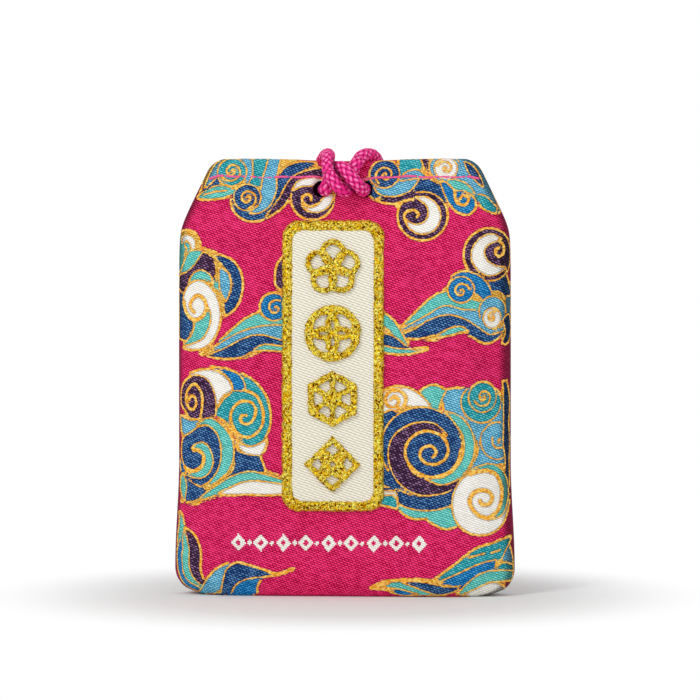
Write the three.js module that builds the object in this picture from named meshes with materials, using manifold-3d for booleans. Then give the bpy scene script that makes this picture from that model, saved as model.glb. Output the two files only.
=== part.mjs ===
// A brocade charm bag with its cord, as a three.js scene graph. Sizes are in millimetres.
// +Z is up, the front faces -Y, and the origin is the middle of the flat base.
import * as THREE from "three";
import { mergeVertices } from "three/addons/utils/BufferGeometryUtils.js";
import Module from "manifold-3d";

const wasm = await Module();
wasm.setup();
const { lerp, smoothstep, clamp, degToRad } = THREE.MathUtils;

// Pouch outline
const POUCH_HEIGHT = 64;
const POUCH_WIDTH = 50;
const SIDE_TUCK = 0.6;
const SHOULDER_CLIP = 5.1;
const SHOULDER_DROP = 10.4;
const WAIST_HEIGHT = 20;
const BASE_CORNER = 4;
const TOP_CORNER = 1.8;
const SHOULDER_SOFTNESS = 0.4;

// Pouch depth
const BELLY_DEPTH = 8.6;
const BASE_DEPTH = 7.4;
const HEM_DEPTH = 2.7;
const TOP_FLAT = 0.6;
const BASE_ROUND = 5;
const TAPER_DROP = 34;
const TAPER_POWER = 2.4;
const SIDE_POWER = 6;

// Cloth and how close its neighbours lie
const CLOTH = 0.6;
const HEM_TURN = 7;
const SEAM_GAP = 0.1;
const BASE_TURN = 0.95;
const FIT = 0.2;
const SKIN_GAP = 0.1;

// Label: cream ground, gold frame, four gold ornaments
const LABEL_WIDTH = 14.9;
const LABEL_HEIGHT = 42.4;
const LABEL_LEFT_OF_CENTRE = 1.4;
const LABEL_FOOT = 12.5;
const LABEL_CORNER = 2.4;
const FRAME_BAND = 1.45;
const FRAME_RISE = 0.6;
const GROUND_RISE = 0.2;
const ORNAMENT_SIZE = 8.2;
const ORNAMENT_PITCH = 9.55;
const ORNAMENT_RISE = 0.55;
const STROKE = 1;
const FINE_STROKE = 0.75;

// Hem stitching
const THREAD = 0.3;
const STITCH_DROP = 2.6;
const STITCH_PITCH = 2.35;
const STITCH_LIFT = 0.12;
const STITCH_MARGIN = 1.3;
const STITCH_SIDES = 4;
const STITCH_STEPS = 66;

// Cord and the two holes that it ties through
const CORD = 1.9;
const CORD_CLEARANCE = 0.15;
const HOLE_SPACING = 6.4;
const HOLE_DROP = 4.6;
const HOLE_PLAY = 0.35;
const CORD_SIDES = 8;
const JOINT_GAP = 0.3;
const KNOT_WIDTH = 6.4;
const KNOT_HEIGHT = 6.6;
const KNOT_FOOT = 11.5;
const TAIL = 6.5;

// Contents
const CARD_SIDE_ROOM = 4;
const CARD_HEAD_ROOM = 11.2;
const CARD_THICKNESS = 0.8;
const CARD_CORNER = 8;
const TABLET_WIDTH = 29;
const TABLET_HEIGHT = 43;
const TABLET_THICKNESS = 1.2;
const PAPER = 0.25;
const PADDING_HEAD_ROOM = 11;

const GRID_COLUMNS = 20;
const GRID_ROWS = 24;
const FAR = 200;

// Colours as three.js reads them
const MAGENTA = 0xc2125c;
const TEAL = 0x2f9fb4;
const CREAM = 0xf1ecd9;
const GOLD = 0xd9a514;
const CORD_PINK = 0xd11a78;
const THREAD_PINK = 0xf05a9c;
const CARD_GREY = 0xb9b2a3;
const COTTON = 0xf4f2ec;
const PAPER_WHITE = 0xf7f4ea;
const WOOD = 0xd8b27c;

const cordRadius = CORD / 2;
const hemLine = POUCH_HEIGHT - (HEM_DEPTH - TOP_FLAT) / 2;
const holeHeight = POUCH_HEIGHT - HOLE_DROP;
const stitchHeight = POUCH_HEIGHT - STITCH_DROP;

// Half the pouch's width at a height, with round base corners, soft shoulders and clipped top corners.
function halfWidthAt(z) {
  const side = POUCH_WIDTH / 2 - SIDE_TUCK * smoothstep(z, BASE_CORNER, WAIST_HEIGHT);
  const aboveShoulder = z - (POUCH_HEIGHT - SHOULDER_DROP);
  const clipped = POUCH_WIDTH / 2 - SIDE_TUCK - (SHOULDER_CLIP / SHOULDER_DROP) * aboveShoulder;
  const difference = (side - clipped) / 2;
  let half = (side + clipped) / 2 - Math.hypot(difference, SHOULDER_SOFTNESS);
  if (z < BASE_CORNER) {
    half -= BASE_CORNER - Math.sqrt(BASE_CORNER ** 2 - (BASE_CORNER - z) ** 2);
  }
  const pastCorner = z - (POUCH_HEIGHT - TOP_CORNER);
  if (pastCorner > 0) {
    half -= TOP_CORNER - Math.sqrt(TOP_CORNER ** 2 - Math.min(pastCorner, TOP_CORNER) ** 2);
  }
  return half;
}

// Half the pouch's depth on its middle line: a flat base, a full belly and a thin hem.
function halfDepthAt(z) {
  const rise = clamp(z / BASE_ROUND, 0, 1);
  const lower = lerp(BASE_DEPTH, BELLY_DEPTH, Math.sqrt(1 - (1 - rise) ** 2)) / 2;
  const taperFoot = POUCH_HEIGHT - TAPER_DROP;
  const fall = clamp((z - taperFoot) / (hemLine - taperFoot), 0, 1);
  const upper = lerp(BELLY_DEPTH, HEM_DEPTH, fall ** TAPER_POWER) / 2;
  if (z <= hemLine) {
    return Math.min(lower, upper);
  }
  const round = (HEM_DEPTH - TOP_FLAT) / 2;
  return TOP_FLAT / 2 + Math.sqrt(Math.max(0, round ** 2 - (z - hemLine) ** 2));
}

// Distance of the outer cloth from the seam plane at a place on the pouch.
function surfaceAt(x, z) {
  const share = clamp(Math.abs(x) / halfWidthAt(z), 0, 1);
  return halfDepthAt(z) * Math.sqrt(1 - share ** SIDE_POWER);
}

// A closed mesh as a manifold-3d solid that faces outwards.
function solidOf(geometry) {
  const bare = geometry.index ? geometry.toNonIndexed() : geometry.clone();
  for (const name of Object.keys(bare.attributes)) {
    if (name !== "position") {
      bare.deleteAttribute(name);
    }
  }
  const merged = mergeVertices(bare, 1e-4);
  const build = (triVerts) =>
    new wasm.Manifold(
      new wasm.Mesh({ numProp: 3, vertProperties: merged.attributes.position.array, triVerts }),
    );
  const triangles = new Uint32Array(merged.index.array);
  const made = build(triangles);
  if (made.volume() > 0) {
    return made;
  }
  for (let i = 0; i < triangles.length; i += 3) {
    [triangles[i + 1], triangles[i + 2]] = [triangles[i + 2], triangles[i + 1]];
  }
  return build(triangles);
}

// A manifold-3d solid as three.js geometry.
function geometryOf(solid) {
  const mesh = solid.getMesh();
  const positions = new Float32Array(mesh.numVert * 3);
  for (let i = 0; i < mesh.numVert; i++) {
    for (let k = 0; k < 3; k++) {
      positions[3 * i + k] = mesh.vertProperties[i * mesh.numProp + k];
    }
  }
  const geometry = new THREE.BufferGeometry();
  geometry.setAttribute("position", new THREE.BufferAttribute(positions, 3));
  geometry.setIndex(new THREE.BufferAttribute(mesh.triVerts, 1));
  geometry.computeVertexNormals();
  return geometry;
}

// The pouch's outer form moved inwards by inset, between two heights, with rows closest at both ends.
function pouchSolid(inset, low, high) {
  const loops = [];
  for (let row = 0; row <= GRID_ROWS; row++) {
    const t = row / GRID_ROWS;
    const z = lerp(low, high, t - (0.75 * Math.sin(2 * Math.PI * t)) / (2 * Math.PI));
    const width = halfWidthAt(z) - inset;
    const depth = halfDepthAt(z) - inset;
    const loop = [];
    for (let i = 0; i < 2 * GRID_COLUMNS; i++) {
      const angle = (Math.PI * i) / GRID_COLUMNS;
      const share = -Math.cos(angle);
      const bulge = Math.sqrt(Math.max(0, 1 - Math.abs(share) ** SIDE_POWER));
      loop.push([width * share, -Math.sign(Math.sin(angle)) * depth * bulge, z]);
    }
    loops.push(loop);
  }
  const count = 2 * GRID_COLUMNS;
  const index = [];
  const at = (row, i) => row * count + ((i + count) % count);
  for (let row = 0; row < GRID_ROWS; row++) {
    for (let i = 0; i < count; i++) {
      index.push(at(row, i), at(row, i + 1), at(row + 1, i + 1));
      index.push(at(row, i), at(row + 1, i + 1), at(row + 1, i));
    }
  }
  for (let i = 0; i < GRID_COLUMNS; i++) {
    for (const [row, turn] of [[0, 1], [GRID_ROWS, 0]]) {
      const quad = [at(row, i), at(row, i + 1), at(row, -i - 1), at(row, -i)];
      for (const [a, b, c] of [[0, 1, 2], [0, 2, 3]]) {
        const corners = turn ? [quad[c], quad[b], quad[a]] : [quad[a], quad[b], quad[c]];
        if (new Set(corners).size === 3) {
          index.push(...corners);
        }
      }
    }
  }
  const geometry = new THREE.BufferGeometry();
  geometry.setAttribute("position", new THREE.Float32BufferAttribute(loops.flat(2), 3));
  geometry.setIndex(index);
  return solidOf(geometry);
}

// A box between two corners.
function boxSolid(low, high) {
  const size = high.map((value, k) => value - low[k]);
  const box = new THREE.BoxGeometry(...size);
  box.translate(...low.map((value, k) => value + size[k] / 2));
  return solidOf(box);
}

// A flat outline drawn in X and Z, made solid from one depth to another.
function prism(shape, front, back) {
  const geometry = new THREE.ExtrudeGeometry(shape, {
    depth: back - front,
    bevelEnabled: false,
    curveSegments: 10,
  });
  geometry.rotateX(Math.PI / 2);
  geometry.translate(0, back, 0);
  return solidOf(geometry);
}

function roundedRectangle(width, height, corner, centreX, foot) {
  const shape = new THREE.Shape();
  const left = centreX - width / 2;
  const right = centreX + width / 2;
  const top = foot + height;
  shape.moveTo(left + corner, foot);
  shape.lineTo(right - corner, foot);
  shape.absarc(right - corner, foot + corner, corner, -Math.PI / 2, 0);
  shape.lineTo(right, top - corner);
  shape.absarc(right - corner, top - corner, corner, 0, Math.PI / 2);
  shape.lineTo(left + corner, top);
  shape.absarc(left + corner, top - corner, corner, Math.PI / 2, Math.PI);
  shape.lineTo(left, foot + corner);
  shape.absarc(left + corner, foot + corner, corner, Math.PI, 1.5 * Math.PI);
  return shape;
}

function disc(x, z, radius, sides = 0) {
  const shape = new THREE.Shape();
  if (sides) {
    for (let i = 0; i < sides; i++) {
      const angle = Math.PI / 2 + (2 * Math.PI * i) / sides;
      const point = [x + radius * Math.cos(angle), z + radius * Math.sin(angle)];
      if (i === 0) shape.moveTo(...point);
      else shape.lineTo(...point);
    }
    shape.closePath();
  } else {
    shape.absarc(x, z, radius, 0, 2 * Math.PI);
  }
  return shape;
}

// A ring of even width, round or with sides.
function ring(x, z, outer, width, sides = 0) {
  const shape = disc(x, z, outer, sides);
  shape.holes.push(disc(x, z, outer - width, sides));
  return shape;
}

// A straight bar of stroke width between two points.
function bar(x1, z1, x2, z2, width) {
  const length = Math.hypot(x2 - x1, z2 - z1);
  const sideX = (-(z2 - z1) / length) * (width / 2);
  const sideZ = ((x2 - x1) / length) * (width / 2);
  const shape = new THREE.Shape();
  shape.moveTo(x1 - sideX, z1 - sideZ);
  shape.lineTo(x2 - sideX, z2 - sideZ);
  shape.lineTo(x2 + sideX, z2 + sideZ);
  shape.lineTo(x1 + sideX, z1 + sideZ);
  shape.closePath();
  return shape;
}

// A traditional plum blossom: five round petals round a solid heart.
function plumBlossom(size) {
  const petal = 0.235 * size;
  const reach = size / 2 - petal;
  const shapes = [disc(0, 0, 0.15 * size)];
  for (let i = 0; i < 5; i++) {
    const angle = Math.PI / 2 + (2 * Math.PI * i) / 5;
    shapes.push(ring(reach * Math.cos(angle), reach * Math.sin(angle), petal, FINE_STROKE));
  }
  return shapes;
}

// Linked treasure rings: four rings that overlap inside a larger one.
function linkedRings(size) {
  const radius = 0.28 * size;
  const offset = (size / 2 - radius) / Math.SQRT2;
  const shapes = [ring(0, 0, size / 2, STROKE)];
  for (const [sx, sz] of [[-1, -1], [1, -1], [1, 1], [-1, 1]]) {
    shapes.push(ring(sx * offset, sz * offset, radius, FINE_STROKE));
  }
  return shapes;
}

// A tortoiseshell hexagon with spokes and a small middle hexagon.
function tortoiseshell(size) {
  const radius = size / 2;
  const shapes = [ring(0, 0, radius, STROKE, 6), disc(0, 0, 0.19 * size, 6)];
  for (let i = 0; i < 6; i++) {
    const angle = Math.PI / 2 + (Math.PI * i) / 3;
    const reach = radius - STROKE / 2;
    shapes.push(bar(0, 0, reach * Math.cos(angle), reach * Math.sin(angle), FINE_STROKE));
  }
  return shapes;
}

// A lozenge with a four-petalled flower inside, its petals against the four sides.
function flowerLozenge(size) {
  const petal = 0.125 * size;
  const offset = 0.115 * size;
  const shapes = [ring(0, 0, size / 2, STROKE, 4)];
  for (const [sx, sz] of [[-1, -1], [1, -1], [1, 1], [-1, 1]]) {
    shapes.push(disc(sx * offset, sz * offset, petal));
  }
  return shapes;
}

// A cord along hand-chosen points.
function cordTube(points, steps) {
  const path = new THREE.CatmullRomCurve3(
    points.map((point) => new THREE.Vector3(...point)),
    false,
    "centripetal",
  );
  return tubeAlong(path, cordRadius, CORD_SIDES, steps);
}

function tubeAlong(path, radius, sides, steps) {
  const section = new THREE.Shape();
  for (let i = 0; i < sides; i++) {
    const angle = (2 * Math.PI * i) / sides;
    const point = [radius * Math.cos(angle), radius * Math.sin(angle)];
    if (i === 0) section.moveTo(...point);
    else section.lineTo(...point);
  }
  return solidOf(new THREE.ExtrudeGeometry(section, { steps, extrudePath: path, curveSegments: 1 }));
}

// Centre of a cord that lies on the front (side -1) or back (side 1), lifted off the cloth.
function onPouch(x, z, lift, side) {
  return [x, side * (surfaceAt(x, z) + lift), z];
}

// How far a cord's centre stands off the cloth: on it, over the hem stitches, or over another cord.
const stitchTop = SKIN_GAP + STITCH_LIFT + THREAD;
const onCloth = cordRadius + CORD_CLEARANCE;
const onStitch = onCloth + stitchTop;
const onCord = onStitch + CORD + CORD_CLEARANCE;

// The cord turns over the hem on an arc about this height, which is also where the loop swings.
const turnHeight = POUCH_HEIGHT - HEM_DEPTH / 2;
const turnRadius = HEM_DEPTH / 2 + CORD_CLEARANCE + cordRadius;
const holeX = HOLE_SPACING / 2;
const LEFT_FRONT_X = -2.5;
const LEFT_BACK_X = -3.6;
const RIGHT_FRONT_X = 2.1;
const RIGHT_BACK_X = 4.7;

function fromHem(x, y, drop) {
  return [x, y, POUCH_HEIGHT - drop];
}

// A place on the turn: 0 degrees at the front, 90 on top and 180 at the back.
function onTurn(x, degrees) {
  const angle = degToRad(degrees);
  return [x, -turnRadius * Math.cos(angle), turnHeight + turnRadius * Math.sin(angle)];
}

// The bend of the binding cord from a hole to the back of the pouch, listed from the hole.
function holeBend(side) {
  const outside = surfaceAt(holeX, holeHeight) - HOLE_PLAY;
  const radius = onCloth + HOLE_PLAY;
  const points = [];
  for (const degrees of [0, 30, 60, 90]) {
    const angle = degToRad(degrees);
    const x = side * (holeX - radius * (1 - Math.cos(angle)));
    points.push([x, outside + radius * Math.sin(angle), holeHeight]);
  }
  return points;
}

// The cord that shuts the mouth: through the left hole, straight across behind, back through
// the right hole, and up and down again in front, its two ends sewn together in the left hole.
const bindingPoints = [
  [-holeX, JOINT_GAP / 2, holeHeight],
  ...holeBend(-1),
  ...holeBend(1).reverse(),
  [holeX, 0, holeHeight],
  [holeX, -1.9, holeHeight],
  fromHem(3.18, -3.0, 4.55),
  fromHem(3.05, -4.1, 4.35),
  fromHem(2.55, -5.05, 3.8),
  fromHem(1.75, -5.45, 3),
  fromHem(0.95, -5.3, 2.2),
  fromHem(0.3, -4.75, 1.6),
  fromHem(-0.3, -4.0, 1.55),
  fromHem(-0.85, -3.4, 2.15),
  fromHem(-1.6, -3.25, 2.8),
  fromHem(-2.3, -3.3, 3.6),
  fromHem(-2.85, -3.0, 4.25),
  fromHem(-3.15, -2.35, 4.55),
  [-holeX, -1.5, holeHeight],
  [-holeX, -JOINT_GAP / 2, holeHeight],
];

// The front bight of the hanging cord: down over the binding cord's left leg, up under its right.
const bightPoints = [
  fromHem(-1.8, -5.35, 2.7),
  fromHem(-1.4, -5.5, 3.4),
  fromHem(-0.9, -5.3, 4.05),
  fromHem(-0.35, -4.8, 4.55),
  fromHem(0.3, -4.15, 4.7),
  fromHem(0.85, -3.7, 4.35),
  fromHem(1.15, -3.45, 3.7),
  fromHem(1.4, -3.3, 2.9),
  fromHem(1.7, -3.1, 2.05),
  fromHem(1.95, -2.75, 1.25),
  onTurn(RIGHT_FRONT_X, 20),
];

// The hanging cord's left turn over the hem, from the front bight to the back.
const leftTurnPoints = [
  fromHem(-2.04, -5.18, 2.26),
  fromHem(-2.28, -4.9, 1.75),
  fromHem(-2.5, -4.15, 0.95),
  fromHem(-2.56, -3.0, 0.05),
  onTurn(-2.65, 65),
  onTurn(-2.8, 90),
  onTurn(-3.05, 115),
  onTurn(-3.35, 142),
  onTurn(LEFT_BACK_X, 168),
];

const rightTurnPoints = [
  onTurn(RIGHT_FRONT_X + 0.1, 28),
  onTurn(2.6, 50),
  onTurn(3.15, 75),
  onTurn(3.7, 100),
  onTurn(4.2, 125),
  onTurn(4.55, 148),
  onTurn(RIGHT_BACK_X, 168),
];

const knotTop = KNOT_FOOT + KNOT_HEIGHT;
const knotLift = KNOT_WIDTH / 2 + CORD_CLEARANCE;
const knotMiddle = [0, surfaceAt(0, KNOT_FOOT + KNOT_HEIGHT / 2) + knotLift];
const strandGap = onCloth;

// A strand of the loop behind the pouch, from the hem down to the knot. Its run is measured from
// the knot, 0, to the hem, 1.
function strandPoints(side, backX) {
  const onBack = (x, run, lift) => onPouch(side * x, lerp(knotTop, POUCH_HEIGHT, run), lift, 1);
  return [
    onTurn(backX, 176),
    onBack(0.7 * Math.abs(backX) + 1.55, 0.939, onStitch + 0.16),
    onBack(5.2, 0.895, onStitch + 0.1),
    onBack(5.5, 0.826, onCloth + 0.25),
    onBack(5.8, 0.717, onCloth),
    onBack(5.9, 0.586, onCloth),
    onBack(5.7, 0.434, onCloth),
    onBack(4.9, 0.292, onCloth + 0.25),
    onBack(3.5, 0.183, onCloth + 1.1),
    onBack(2, 0.096, knotLift - 0.35),
    [side * (strandGap + 0.15), knotMiddle[1], knotTop + 1.6],
    [side * strandGap, knotMiddle[1], knotTop + JOINT_GAP],
  ];
}

function tailPoints(side) {
  return [
    [side * strandGap, knotMiddle[1], KNOT_FOOT - JOINT_GAP],
    [side * (strandGap + 0.2), knotMiddle[1], KNOT_FOOT - TAIL / 3],
    [side * (strandGap + 0.7), knotMiddle[1] - 0.4, KNOT_FOOT - (2 * TAIL) / 3],
    [side * (strandGap + 1.3), knotMiddle[1] - 0.9, KNOT_FOOT - TAIL],
  ];
}

function pouchShell() {
  const outer = pouchSolid(0, 0, POUCH_HEIGHT);
  const hollow = pouchSolid(CLOTH, CLOTH, POUCH_HEIGHT - HEM_TURN);
  return outer.subtract(hollow);
}

// Both cord holes, from front to back.
function cordHoles() {
  const drill = (x) => prism(disc(x, holeHeight, cordRadius + HOLE_PLAY), -BELLY_DEPTH, BELLY_DEPTH);
  return drill(-holeX).add(drill(holeX));
}

// The front cloth also folds under the base, up to the seam on the back.
function frontPanel() {
  const half = boxSolid([-FAR, -FAR, -FAR], [FAR, -SEAM_GAP / 2, FAR]);
  const underfold = boxSolid([-FAR, -FAR, -FAR], [FAR, FAR, BASE_TURN]);
  return pouchShell().intersect(half.add(underfold)).subtract(cordHoles());
}

function backPanel() {
  const half = boxSolid([-FAR, SEAM_GAP / 2, BASE_TURN + SEAM_GAP], [FAR, FAR, FAR]);
  return pouchShell().intersect(half).subtract(cordHoles());
}

// A layer of the label: an outline kept between two heights over the front cloth.
function labelLayer(outline, under, over) {
  const above = pouchSolid(-over, 0, POUCH_HEIGHT);
  const below = pouchSolid(-under, 0, POUCH_HEIGHT);
  return outline.intersect(above).subtract(below);
}

const labelCentre = -LABEL_LEFT_OF_CENTRE;

function labelOutline(margin) {
  const shape = roundedRectangle(
    LABEL_WIDTH - 2 * margin,
    LABEL_HEIGHT - 2 * margin,
    Math.max(0.2, LABEL_CORNER - margin),
    labelCentre,
    LABEL_FOOT + margin,
  );
  return prism(shape, -2 * BELLY_DEPTH, 0);
}

function goldFrame() {
  const band = labelOutline(0).subtract(labelOutline(FRAME_BAND));
  return labelLayer(band, SKIN_GAP, SKIN_GAP + FRAME_RISE);
}

function labelGround() {
  return labelLayer(labelOutline(FRAME_BAND + SKIN_GAP), SKIN_GAP, SKIN_GAP + GROUND_RISE);
}

// An ornament on the cream ground, counted from the top.
function ornament(shapes, place) {
  const middle = LABEL_FOOT + LABEL_HEIGHT / 2 + (1.5 - place) * ORNAMENT_PITCH;
  const outline = shapes
    .map((shape) => prism(shape, -2 * BELLY_DEPTH, 0))
    .reduce((all, one) => all.add(one))
    .translate([labelCentre, 0, middle]);
  const under = 2 * SKIN_GAP + GROUND_RISE;
  return labelLayer(outline, under, under + ORNAMENT_RISE);
}

// A running stitch along the hem, rising over each float and dipping between them.
function hemStitch(side) {
  class Stitches extends THREE.Curve {
    getPoint(t, target = new THREE.Vector3()) {
      const reach = halfWidthAt(stitchHeight) - STITCH_MARGIN;
      const x = lerp(-reach, reach, t);
      const wave = Math.abs(Math.sin((Math.PI * (x + reach)) / STITCH_PITCH)) ** 0.5;
      const lift = SKIN_GAP + THREAD / 2 + STITCH_LIFT * wave;
      return target.set(x, side * (surfaceAt(x, stitchHeight) + lift), stitchHeight);
    }
  }
  return tubeAlong(new Stitches(), THREAD / 2, STITCH_SIDES, STITCH_STEPS);
}

// The knot that joins the loop's two ends, as the barrel that its turns fill.
function loopKnot() {
  const half = KNOT_HEIGHT / 2;
  const radius = KNOT_WIDTH / 2;
  const shoulder = radius - strandGap / 4;
  const profile = [
    [0, -half],
    [0.68 * radius, -half],
    [shoulder, -0.62 * half],
    [radius, 0],
    [shoulder, 0.62 * half],
    [0.68 * radius, half],
    [0, half],
  ];
  const barrel = new THREE.LatheGeometry(profile.map(([r, z]) => new THREE.Vector2(r, z)), 18);
  barrel.rotateX(Math.PI / 2);
  barrel.translate(knotMiddle[0], knotMiddle[1], KNOT_FOOT + half);
  return solidOf(barrel);
}

// Where the contents stand: the card in front, the wrapped tablet behind it, padding outside both.
const wrapperDepth = TABLET_THICKNESS + 2 * (FIT + PAPER);
const stackDepth = CARD_THICKNESS + FIT + wrapperDepth;
const cardFront = -stackDepth / 2;
const wrapperFront = cardFront + CARD_THICKNESS + FIT;
const contentsFoot = CLOTH + FIT;

function stiffenerCard() {
  const half = POUCH_WIDTH / 2 - CARD_SIDE_ROOM;
  const top = POUCH_HEIGHT - CARD_HEAD_ROOM;
  const shape = new THREE.Shape();
  shape.moveTo(-half + BASE_CORNER, contentsFoot);
  shape.lineTo(half - BASE_CORNER, contentsFoot);
  shape.lineTo(half, contentsFoot + BASE_CORNER);
  shape.lineTo(half, top - CARD_CORNER);
  shape.lineTo(half - CARD_CORNER, top);
  shape.lineTo(-half + CARD_CORNER, top);
  shape.lineTo(-half, top - CARD_CORNER);
  shape.lineTo(-half, contentsFoot + BASE_CORNER);
  shape.closePath();
  return prism(shape, cardFront, cardFront + CARD_THICKNESS);
}

function amuletTablet() {
  const front = wrapperFront + PAPER + FIT;
  return boxSolid(
    [-TABLET_WIDTH / 2, front, contentsFoot],
    [TABLET_WIDTH / 2, front + TABLET_THICKNESS, contentsFoot + TABLET_HEIGHT],
  );
}

// A paper sleeve round the tablet, open at its top and foot.
function amuletWrapper() {
  const inner = TABLET_WIDTH / 2 + FIT;
  const outer = inner + PAPER;
  const top = contentsFoot + TABLET_HEIGHT + FIT;
  const back = wrapperFront + wrapperDepth;
  const sleeve = boxSolid([-outer, wrapperFront, contentsFoot], [outer, back, top]);
  const bore = boxSolid([-inner, wrapperFront + PAPER, -1], [inner, back - PAPER, top + 1]);
  return sleeve.subtract(bore);
}

function padding(side) {
  const filling = pouchSolid(CLOTH + FIT, contentsFoot, POUCH_HEIGHT - PADDING_HEAD_ROOM);
  const near = stackDepth / 2 + FIT;
  const half =
    side < 0
      ? boxSolid([-FAR, -FAR, -FAR], [FAR, -near, FAR])
      : boxSolid([-FAR, near, -FAR], [FAR, FAR, FAR]);
  return filling.intersect(half);
}

const charmBag = new THREE.Group();

function addPart(name, solid, color, roughness, metalness = 0) {
  const material = new THREE.MeshStandardMaterial({ color, roughness, metalness });
  const mesh = new THREE.Mesh(geometryOf(solid), material);
  mesh.name = name;
  charmBag.add(mesh);
}

addPart("front_panel", frontPanel(), MAGENTA, 0.6);
addPart("back_panel", backPanel(), TEAL, 0.6);
addPart("label_ground", labelGround(), CREAM, 0.65);
addPart("gold_frame", goldFrame(), GOLD, 0.35, 0.9);
addPart("ornament_plum_blossom", ornament(plumBlossom(ORNAMENT_SIZE), 0), GOLD, 0.35, 0.9);
addPart("ornament_linked_rings", ornament(linkedRings(ORNAMENT_SIZE), 1), GOLD, 0.35, 0.9);
addPart("ornament_tortoiseshell", ornament(tortoiseshell(ORNAMENT_SIZE), 2), GOLD, 0.35, 0.9);
addPart("ornament_flower_lozenge", ornament(flowerLozenge(ORNAMENT_SIZE), 3), GOLD, 0.35, 0.9);
addPart("hem_stitch_front", hemStitch(-1), THREAD_PINK, 0.5);
addPart("hem_stitch_back", hemStitch(1), THREAD_PINK, 0.5);
addPart("stiffener_card", stiffenerCard(), CARD_GREY, 0.9);
addPart("amulet_tablet", amuletTablet(), WOOD, 0.7);
addPart("amulet_wrapper", amuletWrapper(), PAPER_WHITE, 0.85);
addPart("front_padding", padding(-1), COTTON, 0.95);
addPart("back_padding", padding(1), COTTON, 0.95);
addPart("binding_cord", cordTube(bindingPoints, 60), CORD_PINK, 0.55);
addPart("hanging_cord_bight", cordTube(bightPoints, 28), CORD_PINK, 0.55);
addPart("hanging_cord_turn_left", cordTube(leftTurnPoints, 20), CORD_PINK, 0.55);
addPart("hanging_cord_turn_right", cordTube(rightTurnPoints, 16), CORD_PINK, 0.55);
addPart("loop_strand_left", cordTube(strandPoints(-1, LEFT_BACK_X), 32), CORD_PINK, 0.55);
addPart("loop_strand_right", cordTube(strandPoints(1, RIGHT_BACK_X), 32), CORD_PINK, 0.55);
addPart("loop_knot", loopKnot(), CORD_PINK, 0.55);
addPart("loop_tail_left", cordTube(tailPoints(-1), 6), CORD_PINK, 0.55);
addPart("loop_tail_right", cordTube(tailPoints(1), 6), CORD_PINK, 0.55);

export default charmBag;
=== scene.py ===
"""A brocade charm bag with its cord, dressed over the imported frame. Lengths inside are in millimetres."""
import math

import bmesh
import bpy
import numpy as np
from bpy.props import FloatProperty, FloatVectorProperty, PointerProperty
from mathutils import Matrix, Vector


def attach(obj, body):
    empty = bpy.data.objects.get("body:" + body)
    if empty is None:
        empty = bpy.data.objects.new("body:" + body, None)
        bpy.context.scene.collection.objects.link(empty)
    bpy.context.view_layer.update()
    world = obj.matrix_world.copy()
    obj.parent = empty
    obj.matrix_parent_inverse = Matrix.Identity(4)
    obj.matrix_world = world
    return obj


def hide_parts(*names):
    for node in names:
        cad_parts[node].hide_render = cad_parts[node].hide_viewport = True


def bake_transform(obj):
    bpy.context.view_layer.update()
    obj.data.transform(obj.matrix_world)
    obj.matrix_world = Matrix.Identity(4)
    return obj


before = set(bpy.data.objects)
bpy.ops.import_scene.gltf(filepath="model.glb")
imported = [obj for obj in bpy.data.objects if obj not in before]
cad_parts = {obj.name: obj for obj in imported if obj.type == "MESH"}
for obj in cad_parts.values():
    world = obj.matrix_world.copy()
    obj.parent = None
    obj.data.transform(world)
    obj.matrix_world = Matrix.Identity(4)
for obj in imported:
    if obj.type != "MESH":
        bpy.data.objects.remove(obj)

bl_info = {
    "name": "Charm bag",
    "version": (1, 0, 0),
    "blender": (4, 5, 0),
    "location": "View3D > Sidebar > Charm bag",
    "description": "Builds a brocade charm bag with its braided cord over its packed frame",
    "category": "Object",
}

MM = 0.001

# Pouch outline and depth, as in the part's source
POUCH_HEIGHT = 64.0
POUCH_HALF = 25.0
SIDE_TUCK = 0.6
SHOULDER_CLIP = 5.1
SHOULDER_DROP = 10.4
WAIST_HEIGHT = 20.0
BASE_CORNER = 4.0
TOP_CORNER = 1.8
SHOULDER_SOFTNESS = 0.4
BELLY_DEPTH = 8.6
BASE_DEPTH = 7.4
HEM_DEPTH = 2.7
TOP_FLAT = 0.6
BASE_ROUND = 5.0
TAPER_DROP = 34.0
TAPER_POWER = 2.4
SIDE_POWER = 6.0
HEM_ROUND = (HEM_DEPTH - TOP_FLAT) / 2
HEM_LINE = POUCH_HEIGHT - HEM_ROUND
SEAM_HALF_GAP = 0.05
LEAST_DEPTH = 0.02
CLOTH = 0.6

# Cloth mesh: cells of the outer cloth and of the lining, the turns at the hem and the fold at the base
CELL = 0.22
COLUMNS = 250
SECTION_PLACES = 1201
LINING_CELL = 0.9
LINING_COLUMNS = 60
LINING_FOOT = 0.9
LINING_TOP = 57.0
HEM_TURN_SHOWN = 2.4
HEM_TURN_RADIUS = 0.85
BASE_RISE = 0.95
FOLD_HEIGHT = 2.2
FOLD_PASSES = 14

# How far the hem sinks all along, and where the cord draws it in
HEM_SAG = 0.12
CORD_SAG = 0.33
CORD_SAG_X = 1.0
CORD_SAG_REACH = 9.0
SAG_FOOT = 54.0
SAG_RISE = 9.0

# Trial of the cloth: a coarse pouch, made larger because the simulation suits everyday sizes
TRIAL_ROWS = 62
TRIAL_COLUMNS = 49
TRIAL_PLACES = 401
TRIAL_FOOT = 0.6
TRIAL_HEAD_ROOM = 0.2
TRIAL_SCALE = 20.0
TRIAL_FRAMES = 20
TRIAL_LIMIT = 0.5
TRIAL_CLOTH = {
    "quality": 6,
    "mass": 0.3,
    "tension_stiffness": 20,
    "compression_stiffness": 20,
    "shear_stiffness": 8,
    "bending_stiffness": 0.8,
    "use_pressure": True,
    "uniform_pressure_force": 3.0,
    "shrink_min": -0.02,
    "vertex_group_mass": "held",
}
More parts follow.
